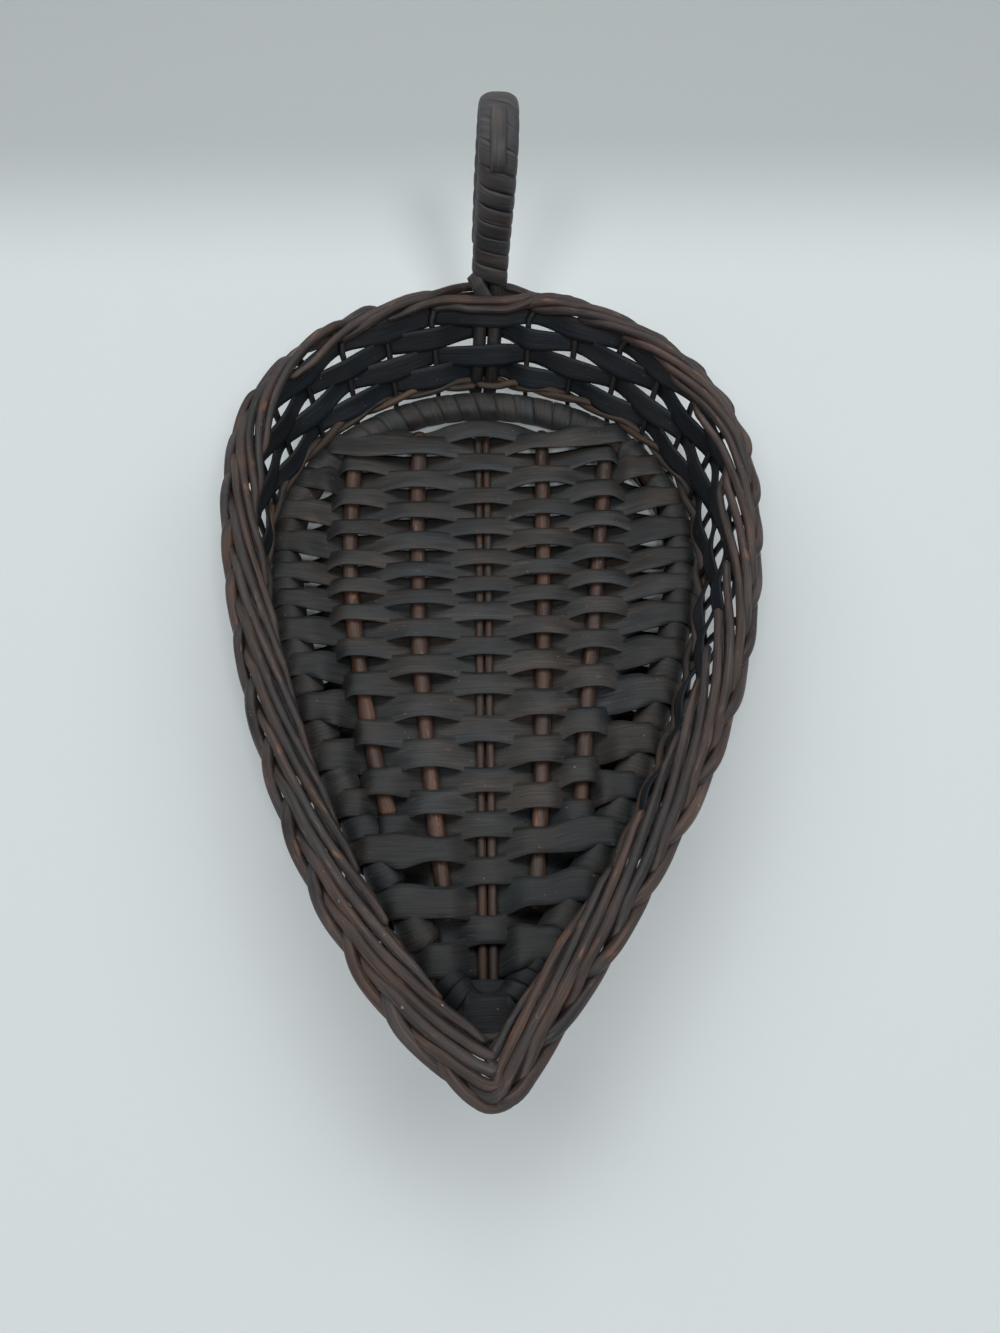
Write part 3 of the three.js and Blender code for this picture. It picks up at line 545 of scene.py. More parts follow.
def willow(name, tones, worn, worn_share, gloss, grain_depth=0.3, painted_shade_foot=None):
    """Dark stained willow: tones along each strand, with fine grain, pale specks and worn spots over them.

    The first millimetres of a strand, up to the given foot length, are darker and bluer: painted shade where
    the stakes stand in the wall.
    """
    material, tree, shader = add_material(name)
    fibre = add_node(tree, "Attribute", attribute_name="fibre").outputs["Vector"]
    mottle = fibre_noise(tree, fibre, (0.04, 0.12, 0.71), detail=4)
    grain = fibre_noise(tree, fibre, (0.06, 1.9, 0.37), detail=6)
    wear = fibre_noise(tree, fibre, (0.11, 0.35, 1.3), detail=5)
    cast = fibre_noise(tree, fibre, (0.022, 0.05, 0.53), detail=2)
    depth = fibre_noise(tree, fibre, (0.009, 0.0, 0.91), detail=1)
    dark, middle, light = tones
    colour = ramp(tree, mottle, ((0.3, dark), (0.5, middle), (0.72, light)))
    spots = ramp(tree, wear, ((worn_share, 0), (worn_share + 0.12, 1)))
    colour = mix_colour(tree, spots, colour, (*worn, 1))
    colour = shade(tree, colour, cast, ((0.36, (0.8, 0.95, 1.08)), (0.5, 1), (0.64, (1.2, 1.02, 0.9))))
    colour = shade(tree, colour, grain, ((0.32, 0.5), (0.68, (1.45, 1.42, 1.4))))
    dust = fibre_noise(tree, fibre, (0.6, 0.8, 2.3), detail=1)
    specks = ramp(tree, dust, ((0.765, 0), (0.79, 1)))
    colour = mix_colour(tree, specks, colour, (0.2, 0.185, 0.165, 1))
    colour = shade(tree, colour, depth, ((0.36, 0.74), (0.64, 1.26)))
    # Painted shade: the strand's foot, which stands in the wall, is darker and bluer
    if painted_shade_foot:
        along = add_node(tree, "SeparateXYZ", {0: fibre}).outputs["X"]
        reach = {"Value": along, "From Min": painted_shade_foot * 0.82, "From Max": painted_shade_foot}
        share = add_node(tree, "MapRange", reach).outputs[0]
        colour = shade(tree, colour, share, ((0.0, (0.22, 0.27, 0.33)), (1.0, 1)))
    tree.links.new(colour, shader.inputs["Base Color"])
    rough = ramp(tree, mottle, ((0.3, gloss - 0.07), (0.7, gloss + 0.1)))
    tree.links.new(rough, shader.inputs["Roughness"])
    shader.inputs["Specular IOR Level"].default_value = 0.42
    height = add_node(tree, "Math", {0: grain, 1: wear}, operation="ADD")
    relief = {"Strength": 0.45, "Distance": grain_depth / 1000, "Height": height.outputs[0]}
    bump = add_node(tree, "Bump", relief)
    tree.links.new(bump.outputs["Normal"], shader.inputs["Normal"])
    return material


WILLOW_LOOKS = {
    "splint": dict(
        tones=((0.0174, 0.0179, 0.0182), (0.0332, 0.0332, 0.0328), (0.0539, 0.0507, 0.0473)),
        worn=(0.1, 0.075, 0.056), worn_share=0.66, gloss=0.55, grain_depth=0.35,
    ),
    # Darker, bluer copy of splint: painted shade, for the wall rows and the winding at the tip
    "shaded_splint": dict(
        tones=((0.0059, 0.0084, 0.0118), (0.0117, 0.0154, 0.0202), (0.0218, 0.0264, 0.0315)),
        worn=(0.045, 0.04, 0.036), worn_share=0.7, gloss=0.62, grain_depth=0.35,
    ),
    # Between splint and shaded_splint: painted shade on the base splint nearest the tip
    "painted_shade_tip_splint": dict(
        tones=((0.0131, 0.0146, 0.0155), (0.0247, 0.0268, 0.0276), (0.0415, 0.0422, 0.0406)),
        worn=(0.085, 0.066, 0.051), worn_share=0.67, gloss=0.57, grain_depth=0.35,
    ),
    "base_stick": dict(
        tones=((0.03, 0.019, 0.015), (0.07, 0.039, 0.029), (0.12, 0.067, 0.047)),
        worn=(0.19, 0.098, 0.06), worn_share=0.62, gloss=0.45,
    ),
    # Darker copy of base_stick: painted shade, for the hoop and the centre rods
    "shaded_stick": dict(
        tones=((0.025, 0.017, 0.013), (0.048, 0.03, 0.022), (0.08, 0.048, 0.033)),
        worn=(0.13, 0.07, 0.042), worn_share=0.68, gloss=0.5,
    ),
    "twined_rod": dict(
        tones=((0.028, 0.021, 0.017), (0.055, 0.04, 0.031), (0.095, 0.068, 0.05)),
        worn=(0.13, 0.085, 0.058), worn_share=0.64, gloss=0.55,
    ),
    "willow_rod": dict(
        tones=((0.0187, 0.0155, 0.0151), (0.0443, 0.0325, 0.0294), (0.0872, 0.0586, 0.0487)),
        worn=(0.16, 0.08, 0.047), worn_share=0.6, gloss=0.5, grain_depth=0.4, painted_shade_foot=57,
    ),
    # Darker, greyer copy of willow_rod: painted shade, for the handle's legs
    "shaded_rod": dict(
        tones=((0.01, 0.0105, 0.012), (0.02, 0.019, 0.019), (0.036, 0.031, 0.029)),
        worn=(0.06, 0.04, 0.03), worn_share=0.68, gloss=0.55,
    ),
    "handle_splint": dict(
        tones=((0.0282, 0.0276, 0.0291), (0.0508, 0.0475, 0.0495), (0.0799, 0.0741, 0.0747)),
        worn=(0.12, 0.1, 0.085), worn_share=0.68, gloss=0.5,
    ),
}
materials = {name: willow(name, **look) for name, look in WILLOW_LOOKS.items()}


# Base
def round_hoop(length, turn, radius):
    """A point round the hoop: turn 0 is its top, a quarter turn its outside, half a turn its bottom."""
    flat = hoop.point(length) + hoop.outward(length) * radius * math.sin(turn)
    return flat_point(flat, HOOP_HEIGHT + radius * math.cos(turn))


def hoop_station(length, turn, width, front_side=1, lift=0.0, straight=0.0):
    """A station on the hoop, which goes square round it or, if straight, keeps to a base row's line.

    Where a row meets the hoop at a slant, it keeps to its line only on the hoop's top.
    """
    outward = hoop.outward(length)
    slant = np.clip(quarter_turn(outward)[0] / outward[0], -1, 1) if straight > 0 else 0.0
    square = float(ease(abs(outward[0]), *ROW_SLANT_ZONE))
    straight *= square + (1 - square) * (1 + math.cos(turn)) / 2
    place = length + straight * slant * WRAP_RADIUS * math.sin(turn)
    outward = hoop.outward(place)
    face = flat_point(outward * math.sin(turn), math.cos(turn))
    across = flat_point(quarter_turn(outward) * front_side, 0.0)
    across = between(across, FRONT, straight * abs(math.cos(turn)))
    return station(round_hoop(place, turn, WRAP_RADIUS + lift), unit(across), face, width)


def stick_x(stick, y):
    rear, middle, tip = stick["x"]
    start, end = stick["y"]
    share = np.clip((start - y) / (start - end), 0, 1)
    rear_weight = 2 * (share - 0.5) * (share - 1)
    return rear_weight * rear + 4 * share * (1 - share) * middle + 2 * share * (share - 0.5) * tip


def make_hoop():
    line = flat_point(hoop.point(np.linspace(0, hoop.total, 120)), HOOP_HEIGHT)
    radii = np.full(len(line), HOOP_RADIUS)
    make_piece("base_hoop", "base_stick", [rod(line, radii, 11, sides=12, rough=0.02)], "shaded_stick")


def make_sticks():
    for number, (name, stick) in enumerate(STICKS.items()):
        y = np.linspace(*stick["y"], STICK_POINTS)
        sway = STICK_SWAY * wander(-y, 60, 40 + number)
        line = flat_point(np.column_stack((stick_x(stick, y) + sway, y)), HOOP_HEIGHT)
        radii = STICK_RADIUS * np.linspace(*STICK_TAPER, len(y))
        make_piece(name, "base_stick", [rod(line, radii, 50 + 7 * number, sides=14, below=STICK_BELOW)])
    spread = CENTRE_ROD_RADIUS + CLEARANCE / 2
    for name, side in (("centre_rod_left", -1), ("centre_rod_right", 1)):
        y = np.linspace(CENTRE_ROD_ENDS[0], CENTRE_ROD_ENDS[1] - CENTRE_ROD_TUCK, STICK_POINTS)
        x = side * spread + CENTRE_ROD_SWAY * wander(-y, 50, 90 + side)
        line = flat_point(np.column_stack((x, y)), HOOP_HEIGHT)
        radii = np.full(len(y), CENTRE_ROD_RADIUS)
        make_piece(name, "base_stick", [rod(line, radii, 95 + side, sides=12)], "shaded_stick")


def hoop_length_for_row(y, on_left):
    low, high = (0, hoop.left_length) if on_left else (hoop.left_length, hoop.total)
    for _ in range(40):
        middle = (low + high) / 2
        if (hoop.point(middle)[1] > y) == on_left:
            low = middle
        else:
            high = middle
    return (low + high) / 2


def row_y(number):
    return np.interp(number, np.arange(len(BASE_ROW_PLACES)) * ROWS_PER_PLACE, BASE_ROW_PLACES)


def base_row(number):
    """A base row: its place, its pitch and where it meets the hoop.

    Even rows go under the hoop and over the outer sticks and centre rods, odd ones the other way.
    """
    y = row_y(number)
    row = {"y": y, "over": 1 if number % 2 == 0 else -1, "seed": 1000 + 17 * number}
    row["pitch"] = (row_y(number - 1) - row_y(number + 1)) / 2
    for side, rise in ROW_END_RISE.items():
        length = hoop_length_for_row(y + rise, side == "left")
        inside = APPROACH / max(abs(hoop.outward(length)[0]), 0.7)
        row[side] = length
        row[side + "_end"] = hoop.point(length) + (inside if side == "left" else -inside, 0)
    return row


def row_stations(row):
    """The stations of a base row from -X to +X."""
    rng = np.random.default_rng(row["seed"])
    plateau_share, end_curve, end_room = 0.7, 1.5, 0.6
    over, pitch = row["over"], row["pitch"]
    front = (0.0, -math.cos(ROW_TILT), math.sin(ROW_TILT))
    face = np.array((0.0, math.sin(ROW_TILT), math.cos(ROW_TILT))) * -over
    stick_levels = {1: STICK_TOP, -1: STICK_UNDER}
    crossings = [(0.0, over * (CENTRE_ROD_RADIUS + SPLINT * CENTRE_SEAT), CENTRE_ROD_RADIUS)]
    for name, stick in STICKS.items():
        if stick["y"][1] - pitch / 2 < row["y"] < stick["y"][0] + pitch / 2:
            level = stick_levels[over if "outer" in name else -over]
            crossings.append((stick_x(stick, row["y"]), level, STICK_RADIUS * plateau_share))
    crossings.sort()
    stations = []
    for x, level, plateau in crossings:
        side = "left" if x < 0 else "right"
        share = min(abs(x / row[side + "_end"][0]), 1)
        y = row["y"] + ROW_END_RISE[side] * share ** end_curve + rng.uniform(-ROW_SWAY, ROW_SWAY) * pitch
        width = pitch * (rng.uniform(*ROW_OVER_WIDTH) if level > 0 else ROW_UNDER_WIDTH)
        y += 0 if level > 0 else ROW_UNDER_SHIFT
        for step in (-plateau, plateau):
            stations.append(station((x + step, y, HOOP_HEIGHT + level), front, face, width, -over))
    level = -over * (WRAP_RADIUS - SPLINT / 2)
    for side, place in (("left", 0), ("right", len(stations) + 1)):
        end = row[side + "_end"]
        beside = stations[0 if side == "left" else -1][0]
        if abs(end[0] - beside) > pitch * end_room:
            middle = (*end, HOOP_HEIGHT + level)
            stations.insert(place, station(middle, front, face, pitch * ROW_UNDER_WIDTH, -over))
    return stations


def hoop_turns(lengths, first_turn, sense, turns, front_side, widths, lifts, extra):
    """A base splint's turns round the hoop; the sideways step is made on the hoop's inner side."""
    side_step, straight_steps = (1.25, 1.75), (2, 5)
    stations = []
    steps = WRAP_STEPS * turns + extra
    for i in range(steps + 1):
        progress = i * WRAP_STEP - WRAP_STEP / 2
        shift = 0.0
        for lap in range(turns):
            begin, end = [math.pi * (half_turns + 2 * lap) for half_turns in side_step]
            shift += float(ease(progress, begin, end)) / turns
        late = float(ease(shift, 1 - 1 / max(turns, 1), 1))
        straight = 1 - float(ease(min(i, steps - i), *straight_steps))
        turn = first_turn + sense * i * WRAP_STEP
        width, lift = between(*widths, late), between(*lifts, late)
        stations.append(hoop_station(between(*lengths, shift), turn, width, front_side, lift, straight))
    return stations


def splint_start(row):
    """A base splint's first wrap: a turn, or half of one, that ends as the row leaves the hoop."""
    to_right = row["over"] > 0
    half_step = WRAP_STEP / 2
    place = row["left"] if to_right else row["right"]
    turn, sense = (half_step - math.pi, 1) if to_right else (math.pi - half_step, -1)
    steps = WRAP_STEPS if to_right else WRAP_STEPS // 2
    width = row["pitch"] * (PLAIN_WRAP_WIDTH if to_right else RIDER_WIDTH)
    lift = 0.0 if to_right else ROW_LIFT
    return hoop_turns((place, place), turn, sense, 0, 1 if to_right else -1, (width,) * 2, (lift,) * 2, steps)


def splint_wrap(row, after, is_last):
    """The turns between one row and the next at the side where the row ends."""
    to_right = row["over"] > 0
    half_step = WRAP_STEP / 2
    side = "right" if to_right else "left"
    here, there = row[side], after[side]
    turns = max(1, round(abs(there - here) / (BASE_PITCH * WRAP_SPACING)))
    lap = abs(there - here) / turns
    plain = min(max(lap, row["pitch"]) * PLAIN_WRAP_WIDTH, BASE_PITCH * WIDEST_WRAP)
    widths = (plain, after["pitch"] * RIDER_WIDTH) if to_right else (row["pitch"] * RIDER_WIDTH, plain)
    lifts = (0.0, ROW_LIFT) if to_right else (ROW_LIFT, 0.0)
    turn, sense = (math.pi + half_step, -1) if to_right else (-half_step, 1)
    front_side = -1 if to_right else 1
    if is_last:
        ends = (here, here + (there - here) * (turns - 1) / turns)
        extra = WRAP_STEPS if to_right else WRAP_STEPS // 2
        return hoop_turns(ends, turn, sense, turns - 1, front_side, widths[:1] * 2, lifts[:1] * 2, extra)
    return hoop_turns((here, there), turn, sense, turns, front_side, widths, lifts, WRAP_STEPS // 2 + 1)


def make_base_splints(rows):
    last = len(rows) - 1
    for start in range(0, len(rows), ROWS_PER_SPLINT):
        end = min(start + ROWS_PER_SPLINT, len(rows)) - 1
        stations = splint_start(rows[start])
        for index in range(start, end + 1):
            across = row_stations(rows[index])
            stations += across if rows[index]["over"] > 0 else across[::-1]
            after = rows[min(index + 1, last)]
            stations += splint_wrap(rows[index], after, index == end)
        number = start // ROWS_PER_SPLINT + 1
        # The base splint nearest the tip gets a darker copy: painted shade towards the tip
        look = "painted_shade_tip_splint" if end == last else "splint"
        make_piece(f"base_splint_{number}", "splint", [splint(stations, 300 * number)], look)


def hoop_winding(start, end, pitch, seed):
    turns = int((end - start) / pitch)
    step = (end - start) / turns
    rng = np.random.default_rng(seed)
    stations = []
    overrun = 6
    for i in range(-overrun, (turns - 1) * WRAP_STEPS + overrun + 1):
        length = start + step * (0.5 + np.clip(i / WRAP_STEPS, 0, turns - 1))
        length = length + rng.uniform(-WINDING_SWAY, WINDING_SWAY)
        stations.append(hoop_station(length, WRAP_STEP / 2 + i * WRAP_STEP, step * WINDING_OVERLAP))
    return splint(stations, seed, crown=0.12)


def short_strip(y, half_length, level, end_level, width, seed):
    """A short length of splint across the middle, its ends tucked under what lies beside it."""
    stations = []
    for share, height in ((-1, end_level), (-0.5, level - 1), (0, level), (0.5, level - 1), (1, end_level)):
        middle = (share * half_length, y, HOOP_HEIGHT + height)
        stations.append(station(middle, FRONT, UP, width))
    return splint(stations, seed)


def rear_row():
    """The curved row next to the rear winding, bowed up over the centre rods."""
    end, beside, bow = -3.5, 2.2, 4.6
    levels = (end, beside, STICK_UNDER, beside, bow, beside, STICK_UNDER, beside, end)
    stations = []
    for share, level in zip(np.linspace(-1, 1, len(levels)), levels):
        y = BASE_ROW_PLACES[0] - 1 - REAR_ROW_DIP * share ** 2
        front = unit(FRONT + (-0.5 * share, 0, 0))
        middle = (REAR_ROW_HALF * share, y, HOOP_HEIGHT + level)
        stations.append(station(middle, front, UP, REAR_ROW_WIDTH))
    return splint(stations, 2110)


def make_hoop_windings(rows):
    margin = BASE_PITCH * 0.55
    rear_start = rows[0]["right"] + margin
    rear_end = hoop.total + rows[0]["left"] - margin
    winding = hoop_winding(rear_start, rear_end, REAR_TURN_PITCH, 2100)
    make_piece("hoop_wrap_rear", "splint", [winding, rear_row()])
    tip_start, tip_end = rows[-1]["left"] + margin, rows[-1]["right"] - margin
    last_y, cover_y = BASE_ROW_PLACES[-1] - 1, WRAP_OUTER - BASE_FRONT - 2.5
    last_row = short_strip(last_y, half_length=11, level=3.2, end_level=-2, width=8.5, seed=2210)
    cover = short_strip(cover_y, half_length=13, level=WRAP_RADIUS + 0.9, end_level=2, width=14, seed=2220)
    winding = hoop_winding(tip_start, tip_end, TIP_TURN_PITCH, 2200)
    make_piece("hoop_wrap_tip", "splint", [winding, last_row, cover], "shaded_splint")


# Wall
def weave_stops(swing, sign):
    """Stake numbers and swings of a woven strand, with room for the handle's two legs at stake 0."""
    at_handle = HANDLE_SEAT + sign * (swing + HANDLE_SEAT)
    stops = [(HANDLE_REACH - HANDLE_SHIFT, at_handle)]
    stops += [(stake, (sign if stake % 2 == 0 else -sign) * swing) for stake in range(1, STAKES)]
    return stops + [(STAKES - HANDLE_REACH - HANDLE_SHIFT, at_handle)]


def make_wall_rows():
    for index in range(WALL_ROWS):
        sign = 1 if index % 2 == 0 else -1
        rng = np.random.default_rng(400 + index)
        stations = []
        stops = weave_stops(ROW_SWING, sign)
        first = 1 if sign < 0 else 2
        ring = stops[first:] + [(stake + STAKES, out_by) for stake, out_by in stops[:first]]
        for stake, out_by in ring:
            _, up, out, length = wall_frame(stake)
            margin = between(*WALL_ROWS_MARGINS, ease(from_rear(stake), *WALL_REAR_ZONE))
            pitch = (length - WALL_ROWS_LOW - margin) / WALL_ROWS
            level = WALL_ROWS_LOW + (index + 0.5) * pitch + rng.uniform(-WALL_ROW_SWAY, WALL_ROW_SWAY)
            width = pitch * rng.uniform(*(WALL_INSIDE_WIDTH if out_by < 0 else WALL_OUTSIDE_WIDTH))
            stations.append(station(wall_point(stake, out_by, level), up, out, width))
        lap = stations[0].copy()
        lap[:3] = wall_point(STAKES + first + WALL_ROW_LAP, stops[first][1] + SPLINT, level)
        stations.append(lap)
        row = splint(stations, 500 + 20 * index, crown=0.15)
        make_piece(f"wall_splint_row_{index + 1}", "splint", [row], "shaded_splint")


def make_twine():
    for name, sign in (("foot_twine_a", 1), ("foot_twine_b", -1)):
        stops = weave_stops(TWINE_SWING, sign)
        line = []
        for number, (leave, arrive) in enumerate(zip(stops[:-1], stops[1:])):
            rising = sign if number % 2 == 0 else -sign
            middle = (leave[0] + arrive[0]) / 2
            line.append(wall_point(*leave, TWINE_LEVEL))
            line.append(wall_point(middle, (leave[1] + arrive[1]) / 2, TWINE_LEVEL + rising * TWINE_LIFT))
        line.append(wall_point(*stops[-1], TWINE_LEVEL))
        line.append(wall_point(STAKES + stops[0][0], stops[0][1], TWINE_LEVEL + TWINE_END_LIFT))
        line = np.array(line)
        make_piece(name, "twined_rod", [rod(line, np.full(len(line), TWINE_RADIUS), 600 + sign, sides=8)])


# Stakes and border
def arch_place(stake, run):
    """A border rod's place in the border's section, which is wider on its inner side away from the handle.

    Near the handle its inner rods lie higher, and at the lower left the loops on its outer side are looser.
    """
    inner_run, loop_run, lift_share = 2, 1.5, 0.25
    runs, outs, ups = np.array(BORDER_SECTION).T
    out_by = np.interp(run, runs, outs)
    away = ease(from_rear(stake), *BORDER_REAR_ZONE)
    inner = between(INNER_SPREAD_REAR, 1, away)
    up_by = np.interp(run, runs, ups)
    raised = np.where(run > inner_run, (max(ups) - up_by) * lift_share * (1 - away), 0)
    low_left = ease(stake, *LOOSE_LOOPS_START) * (1 - ease(stake, *LOOSE_LOOPS_END))
    loose = LOOSE_LOOPS_LEFT * low_left * np.sin(math.pi * np.clip(run / loop_run, 0, 1))
    return np.where(out_by < 0, out_by * inner, out_by) + loose, up_by + raised


def crosses_handle(stake):
    return STAKES - stake <= RODS_BEHIND + RODS_IN_FRONT


def parted_place(stake):
    """A border rod's place where the handle's legs stand in the border: behind them or in front of them."""
    run = STAKES - stake
    if run <= RODS_BEHIND:
        return HANDLE_SEAT + PARTED_REACH, ROD_SPACING_FIRST * (run - 1) - CLEARANCE
    inward = FRONT_ROD_STEP * (run - RODS_BEHIND - 1) + FRONT_ROD_MARGIN
    out_by = HANDLE_SEAT - PARTED_REACH - inward
    return out_by, ROD_SPACING_LAST * (BORDER_RUN - 1 - run) - FRONT_ROD_MARGIN


def border_rod_points(stake, runs):
    """The points of a border rod, whose tail is tucked under the next rod in the rear half."""
    sway = np.array((wander(runs, 1.3, 8000 + stake), wander(runs, 1.1, 8100 + stake)))
    place = np.array(arch_place(stake + runs, runs)) + ROD_SWAY * sway
    if crosses_handle(stake):
        from_handle = np.abs(stake + runs - STAKES + HANDLE_SHIFT)
        parting = 1 - ease(from_handle, HANDLE_REACH, PARTING_REACH * HANDLE_REACH)
        place = between(place, np.reshape(parted_place(stake), (2, 1)), parting)
    near_rear = 1 - ease(from_rear(stake + runs), *TUCKED_TAIL_ZONE)
    tucked = ease(runs, runs[-1] - TAIL_LENGTH, runs[-1]) * near_rear
    return border_point(stake + runs, *between(place, np.reshape(REAR_TAIL, (2, 1)), tucked))


def stake_name(stake):
    if stake == HALF:
        return "stake_tip"
    side, number = ("left", stake) if stake < HALF else ("right", STAKES - stake)
    return f"stake_{side}_{number:02d}"


def make_stakes():
    latest_end, short_end, first_run, run_step = 0.5, 0.6, 0.05, 0.2
    for stake in range(1, STAKES):
        rng = np.random.default_rng(7000 + stake)
        size = rng.uniform(*ROD_SIZES)
        longer = rng.uniform(*TAIL_SPREAD) * ease(from_rear(stake + BORDER_RUN), *LONG_TAIL_ZONE)
        last_run = BORDER_RUN + longer
        if stake + last_run > STAKES - latest_end and not crosses_handle(stake):
            last_run = STAKES - stake - short_end
        runs = np.concatenate((np.arange(first_run, last_run - run_step / 2, run_step), (last_run,)))
        rise = wall_frame(stake)[3] + 1 - BORDER_BAND
        line = [wall_point(stake, 0.0, level) for level in np.linspace(0, rise, 6)]
        line += [border_point(stake + on, out_by, -BORDER_BAND * down) for on, out_by, down in STAKE_BEND]
        border_line = border_rod_points(stake, runs)
        kept = on_own_side(stake + runs, border_line)
        line = np.vstack((line, border_line[kept]))
        taper = between(KNUCKLE_RADIUS * size, STAKE_END_RADIUS, runs / BORDER_RUN)
        near_handle = 1 - ease(from_rear(stake + runs), *REAR_ROD_ZONE)
        taper = between(taper, REAR_ROD_RADIUS, near_handle * REAR_EVENNESS)
        radii = np.concatenate((STAKE_WALL_RADII, (STAKE_BEND_RADIUS * size,), taper[kept]))
        make_piece(stake_name(stake), "willow_rod", [rod(line, radii, 700 + 9 * stake)])


# Handle
def handle_keys():
    length = float(wall_frame(0)[3])
    top = border_point(0, HANDLE_SEAT, ARCH_RADIUS)
    grip_y = top[1] + HANDLE_RADIUS
    loop_y = grip_y + LOOP_RADIUS
    rear_out = HANDLE_SEAT + 2 * PARTED_REACH
    tuck_out = HANDLE_SEAT + 2 * HANDLE_RADIUS + 2 * CLEARANCE + SPLINT
    keys = [
        wall_point(0, HANDLE_SEAT, 0.0),
        wall_point(0, HANDLE_SEAT, length / 2),
        border_point(0, HANDLE_SEAT, 0.0),
        top,
        (0, grip_y, top[2] + HANDLE_RISE),
        (0, grip_y, LOOP_HEIGHT),
    ]
    for turn in np.linspace(0, math.pi, 7)[1:]:
        height = LOOP_HEIGHT + LOOP_RADIUS * math.sin(turn)
        keys.append((0, loop_y - LOOP_RADIUS * math.cos(turn), height))
    keys += [
        (0, loop_y + LOOP_RADIUS, LOOP_HEIGHT - LOOP_RADIUS),
        border_point(0, rear_out + HANDLE_RADIUS, ARCH_RADIUS + HANDLE_RISE * 0.7),
        border_point(0, rear_out, 0.0),
        border_point(0, tuck_out, -BORDER_BAND - HANDLE_RADIUS),
        border_point(0, tuck_out, -REAR_STRAND_TUCK),
    ]
    keys = np.array(keys)
    rise = LOOP_HEIGHT + LOOP_RADIUS - BORDER_HEIGHT
    keys[:, 0] += HANDLE_LEAN * np.maximum(0, (keys[:, 2] - BORDER_HEIGHT) / rise)
    keys[:, 0] += HANDLE_OFFSET * ease(keys[:, 2], *HANDLE_OFFSET_ZONE)
    return keys, top[2]


class HandlePath:
    """The handle's middle line by length, with its sideways and outer directions."""

    def __init__(self, keys):
        self.line = resample(keys, 0.5)
        self.lengths = lengths_along(self.line)
        self.total = self.lengths[-1]

    def at(self, length):
        def place(where):
            return read_line(self.line, self.lengths, where)

        along = unit(place(np.minimum(length + 1, self.total)) - place(np.maximum(length - 1, 0)))
        sideways = unit(np.array((1.0, 0, 0)) - along * along[..., :1])
        return place(length), sideways, np.cross(sideways, along), along

    def length_at(self, height):
        return self.lengths[np.argmax(self.line[:, 2] >= height)]


def make_handle():
    keys, border_top = handle_keys()
    path = HandlePath(keys)
    middle, sideways, _, _ = path.at(np.linspace(0, path.total, HANDLE_POINTS))
    for name, side in (("handle_rod_left", -1), ("handle_rod_right", 1)):
        line = middle + sideways * side * HANDLE_SPREAD
        leg = rod(line, np.full(HANDLE_POINTS, HANDLE_RADIUS), 1500 + side, sides=14, rough=0.03)
        make_piece(name, "willow_rod", [leg], "shaded_rod")
    start = path.length_at(border_top + HANDLE_BARE_LEGS)
    around = HANDLE_RADIUS + CLEARANCE + SPLINT / 2
    make_handle_wrap(path, start, around)
    make_leader(path, around + SPLINT + CLEARANCE)
    make_tie(path, start, around)


def make_handle_wrap(path, start, around):
    per_turn, squareness, blend, fill, bend_fill = 12, 1.6, 4, 0.97, 0.26
    wrapped = path.total - start - HANDLE_REAR_BARE
    turns = round(wrapped / HANDLE_TURN_PITCH)
    pitch = wrapped / turns
    arc_start = path.length_at(LOOP_HEIGHT)
    arc_end = arc_start + math.pi * LOOP_RADIUS
    stations = []
    for i in range(-per_turn // 2, turns * per_turn + 1):
        turn = i / per_turn * 2 * math.pi + math.pi / 2
        length = start + pitch * (0.5 + i / per_turn - HANDLE_SEAM_SLOPE * math.cos(turn))
        bend = ease(length, arc_start - blend, arc_start + blend)
        bend = bend * (1 - ease(length, arc_end - blend, arc_end + blend))
        width = pitch * (fill + bend_fill * bend)
        middle, sideways, outer, along = path.at(length)
        seat = HANDLE_SPREAD * np.clip(squareness * math.cos(turn), -1, 1)
        face = sideways * math.cos(turn) + outer * math.sin(turn)
        stations.append(station(middle + sideways * seat + face * around, along, face, width))
    make_piece("handle_wrap", "handle_splint", [splint(stations, 1600, step=1.0)])


def make_leader(path, out_by):
    start, arc, end_dip = 4, math.radians(78), 0.8
    arc_start = path.length_at(LOOP_HEIGHT)
    stations = []
    for share in np.linspace(0, 1, 9):
        length = arc_start + start + share * (LOOP_RADIUS * arc - start)
        middle, sideways, outer, _ = path.at(length)
        dip = end_dip * (1 - ease(min(share, 1 - share), 0, 0.12))
        stations.append(station(middle + outer * (out_by - dip), sideways, outer, LEADER_WIDTH))
    make_piece("handle_leader", "handle_splint", [splint(stations, 1700, step=0.8)])


def make_tie(path, start, out_by):
    """A strip slanting from the wrap's lower left end across the legs to behind the border's front rods."""
    width, rise, fall, slant = 6.4, 3.0, 13.0, 0.8
    side_start, side_travel, tuck, seat = -1.2, 1.6, 2.5, 0.5
    stations = []
    for share in np.linspace(0, 1, 9):
        middle, sideways, outer, along = path.at(start + rise - share * (rise + fall))
        side_by = HANDLE_HALF_WIDTH * (side_start + side_travel * share)
        round_by = -tuck * (1 - ease(share, 0, 0.25))
        place = middle + sideways * side_by + outer * (out_by + seat + round_by)
        stations.append(station(place, unit(along + sideways * slant), outer, width))
    make_piece("handle_tie", "handle_splint", [splint(stations, 1800, step=0.8)])


# Stage
def make_camera():
    data = bpy.data.cameras.new("camera")
    data.sensor_width = SENSOR
    data.lens = FOCAL_PIXELS / IMAGE_HEIGHT * SENSOR
    camera = add_object("camera", data)
    place = Matrix.Translation(Vector(np.array(CAMERA_PLACE) / 1000 + SHIFT))
    yaw = Matrix.Rotation(CAMERA_YAW, 4, "Z")
    pitch = Matrix.Rotation(math.pi / 2 - CAMERA_PITCH, 4, "X")
    roll = Matrix.Rotation(CAMERA_ROLL, 4, "Z")
    camera.matrix_world = place @ yaw @ pitch @ roll
    bpy.context.scene.camera = camera


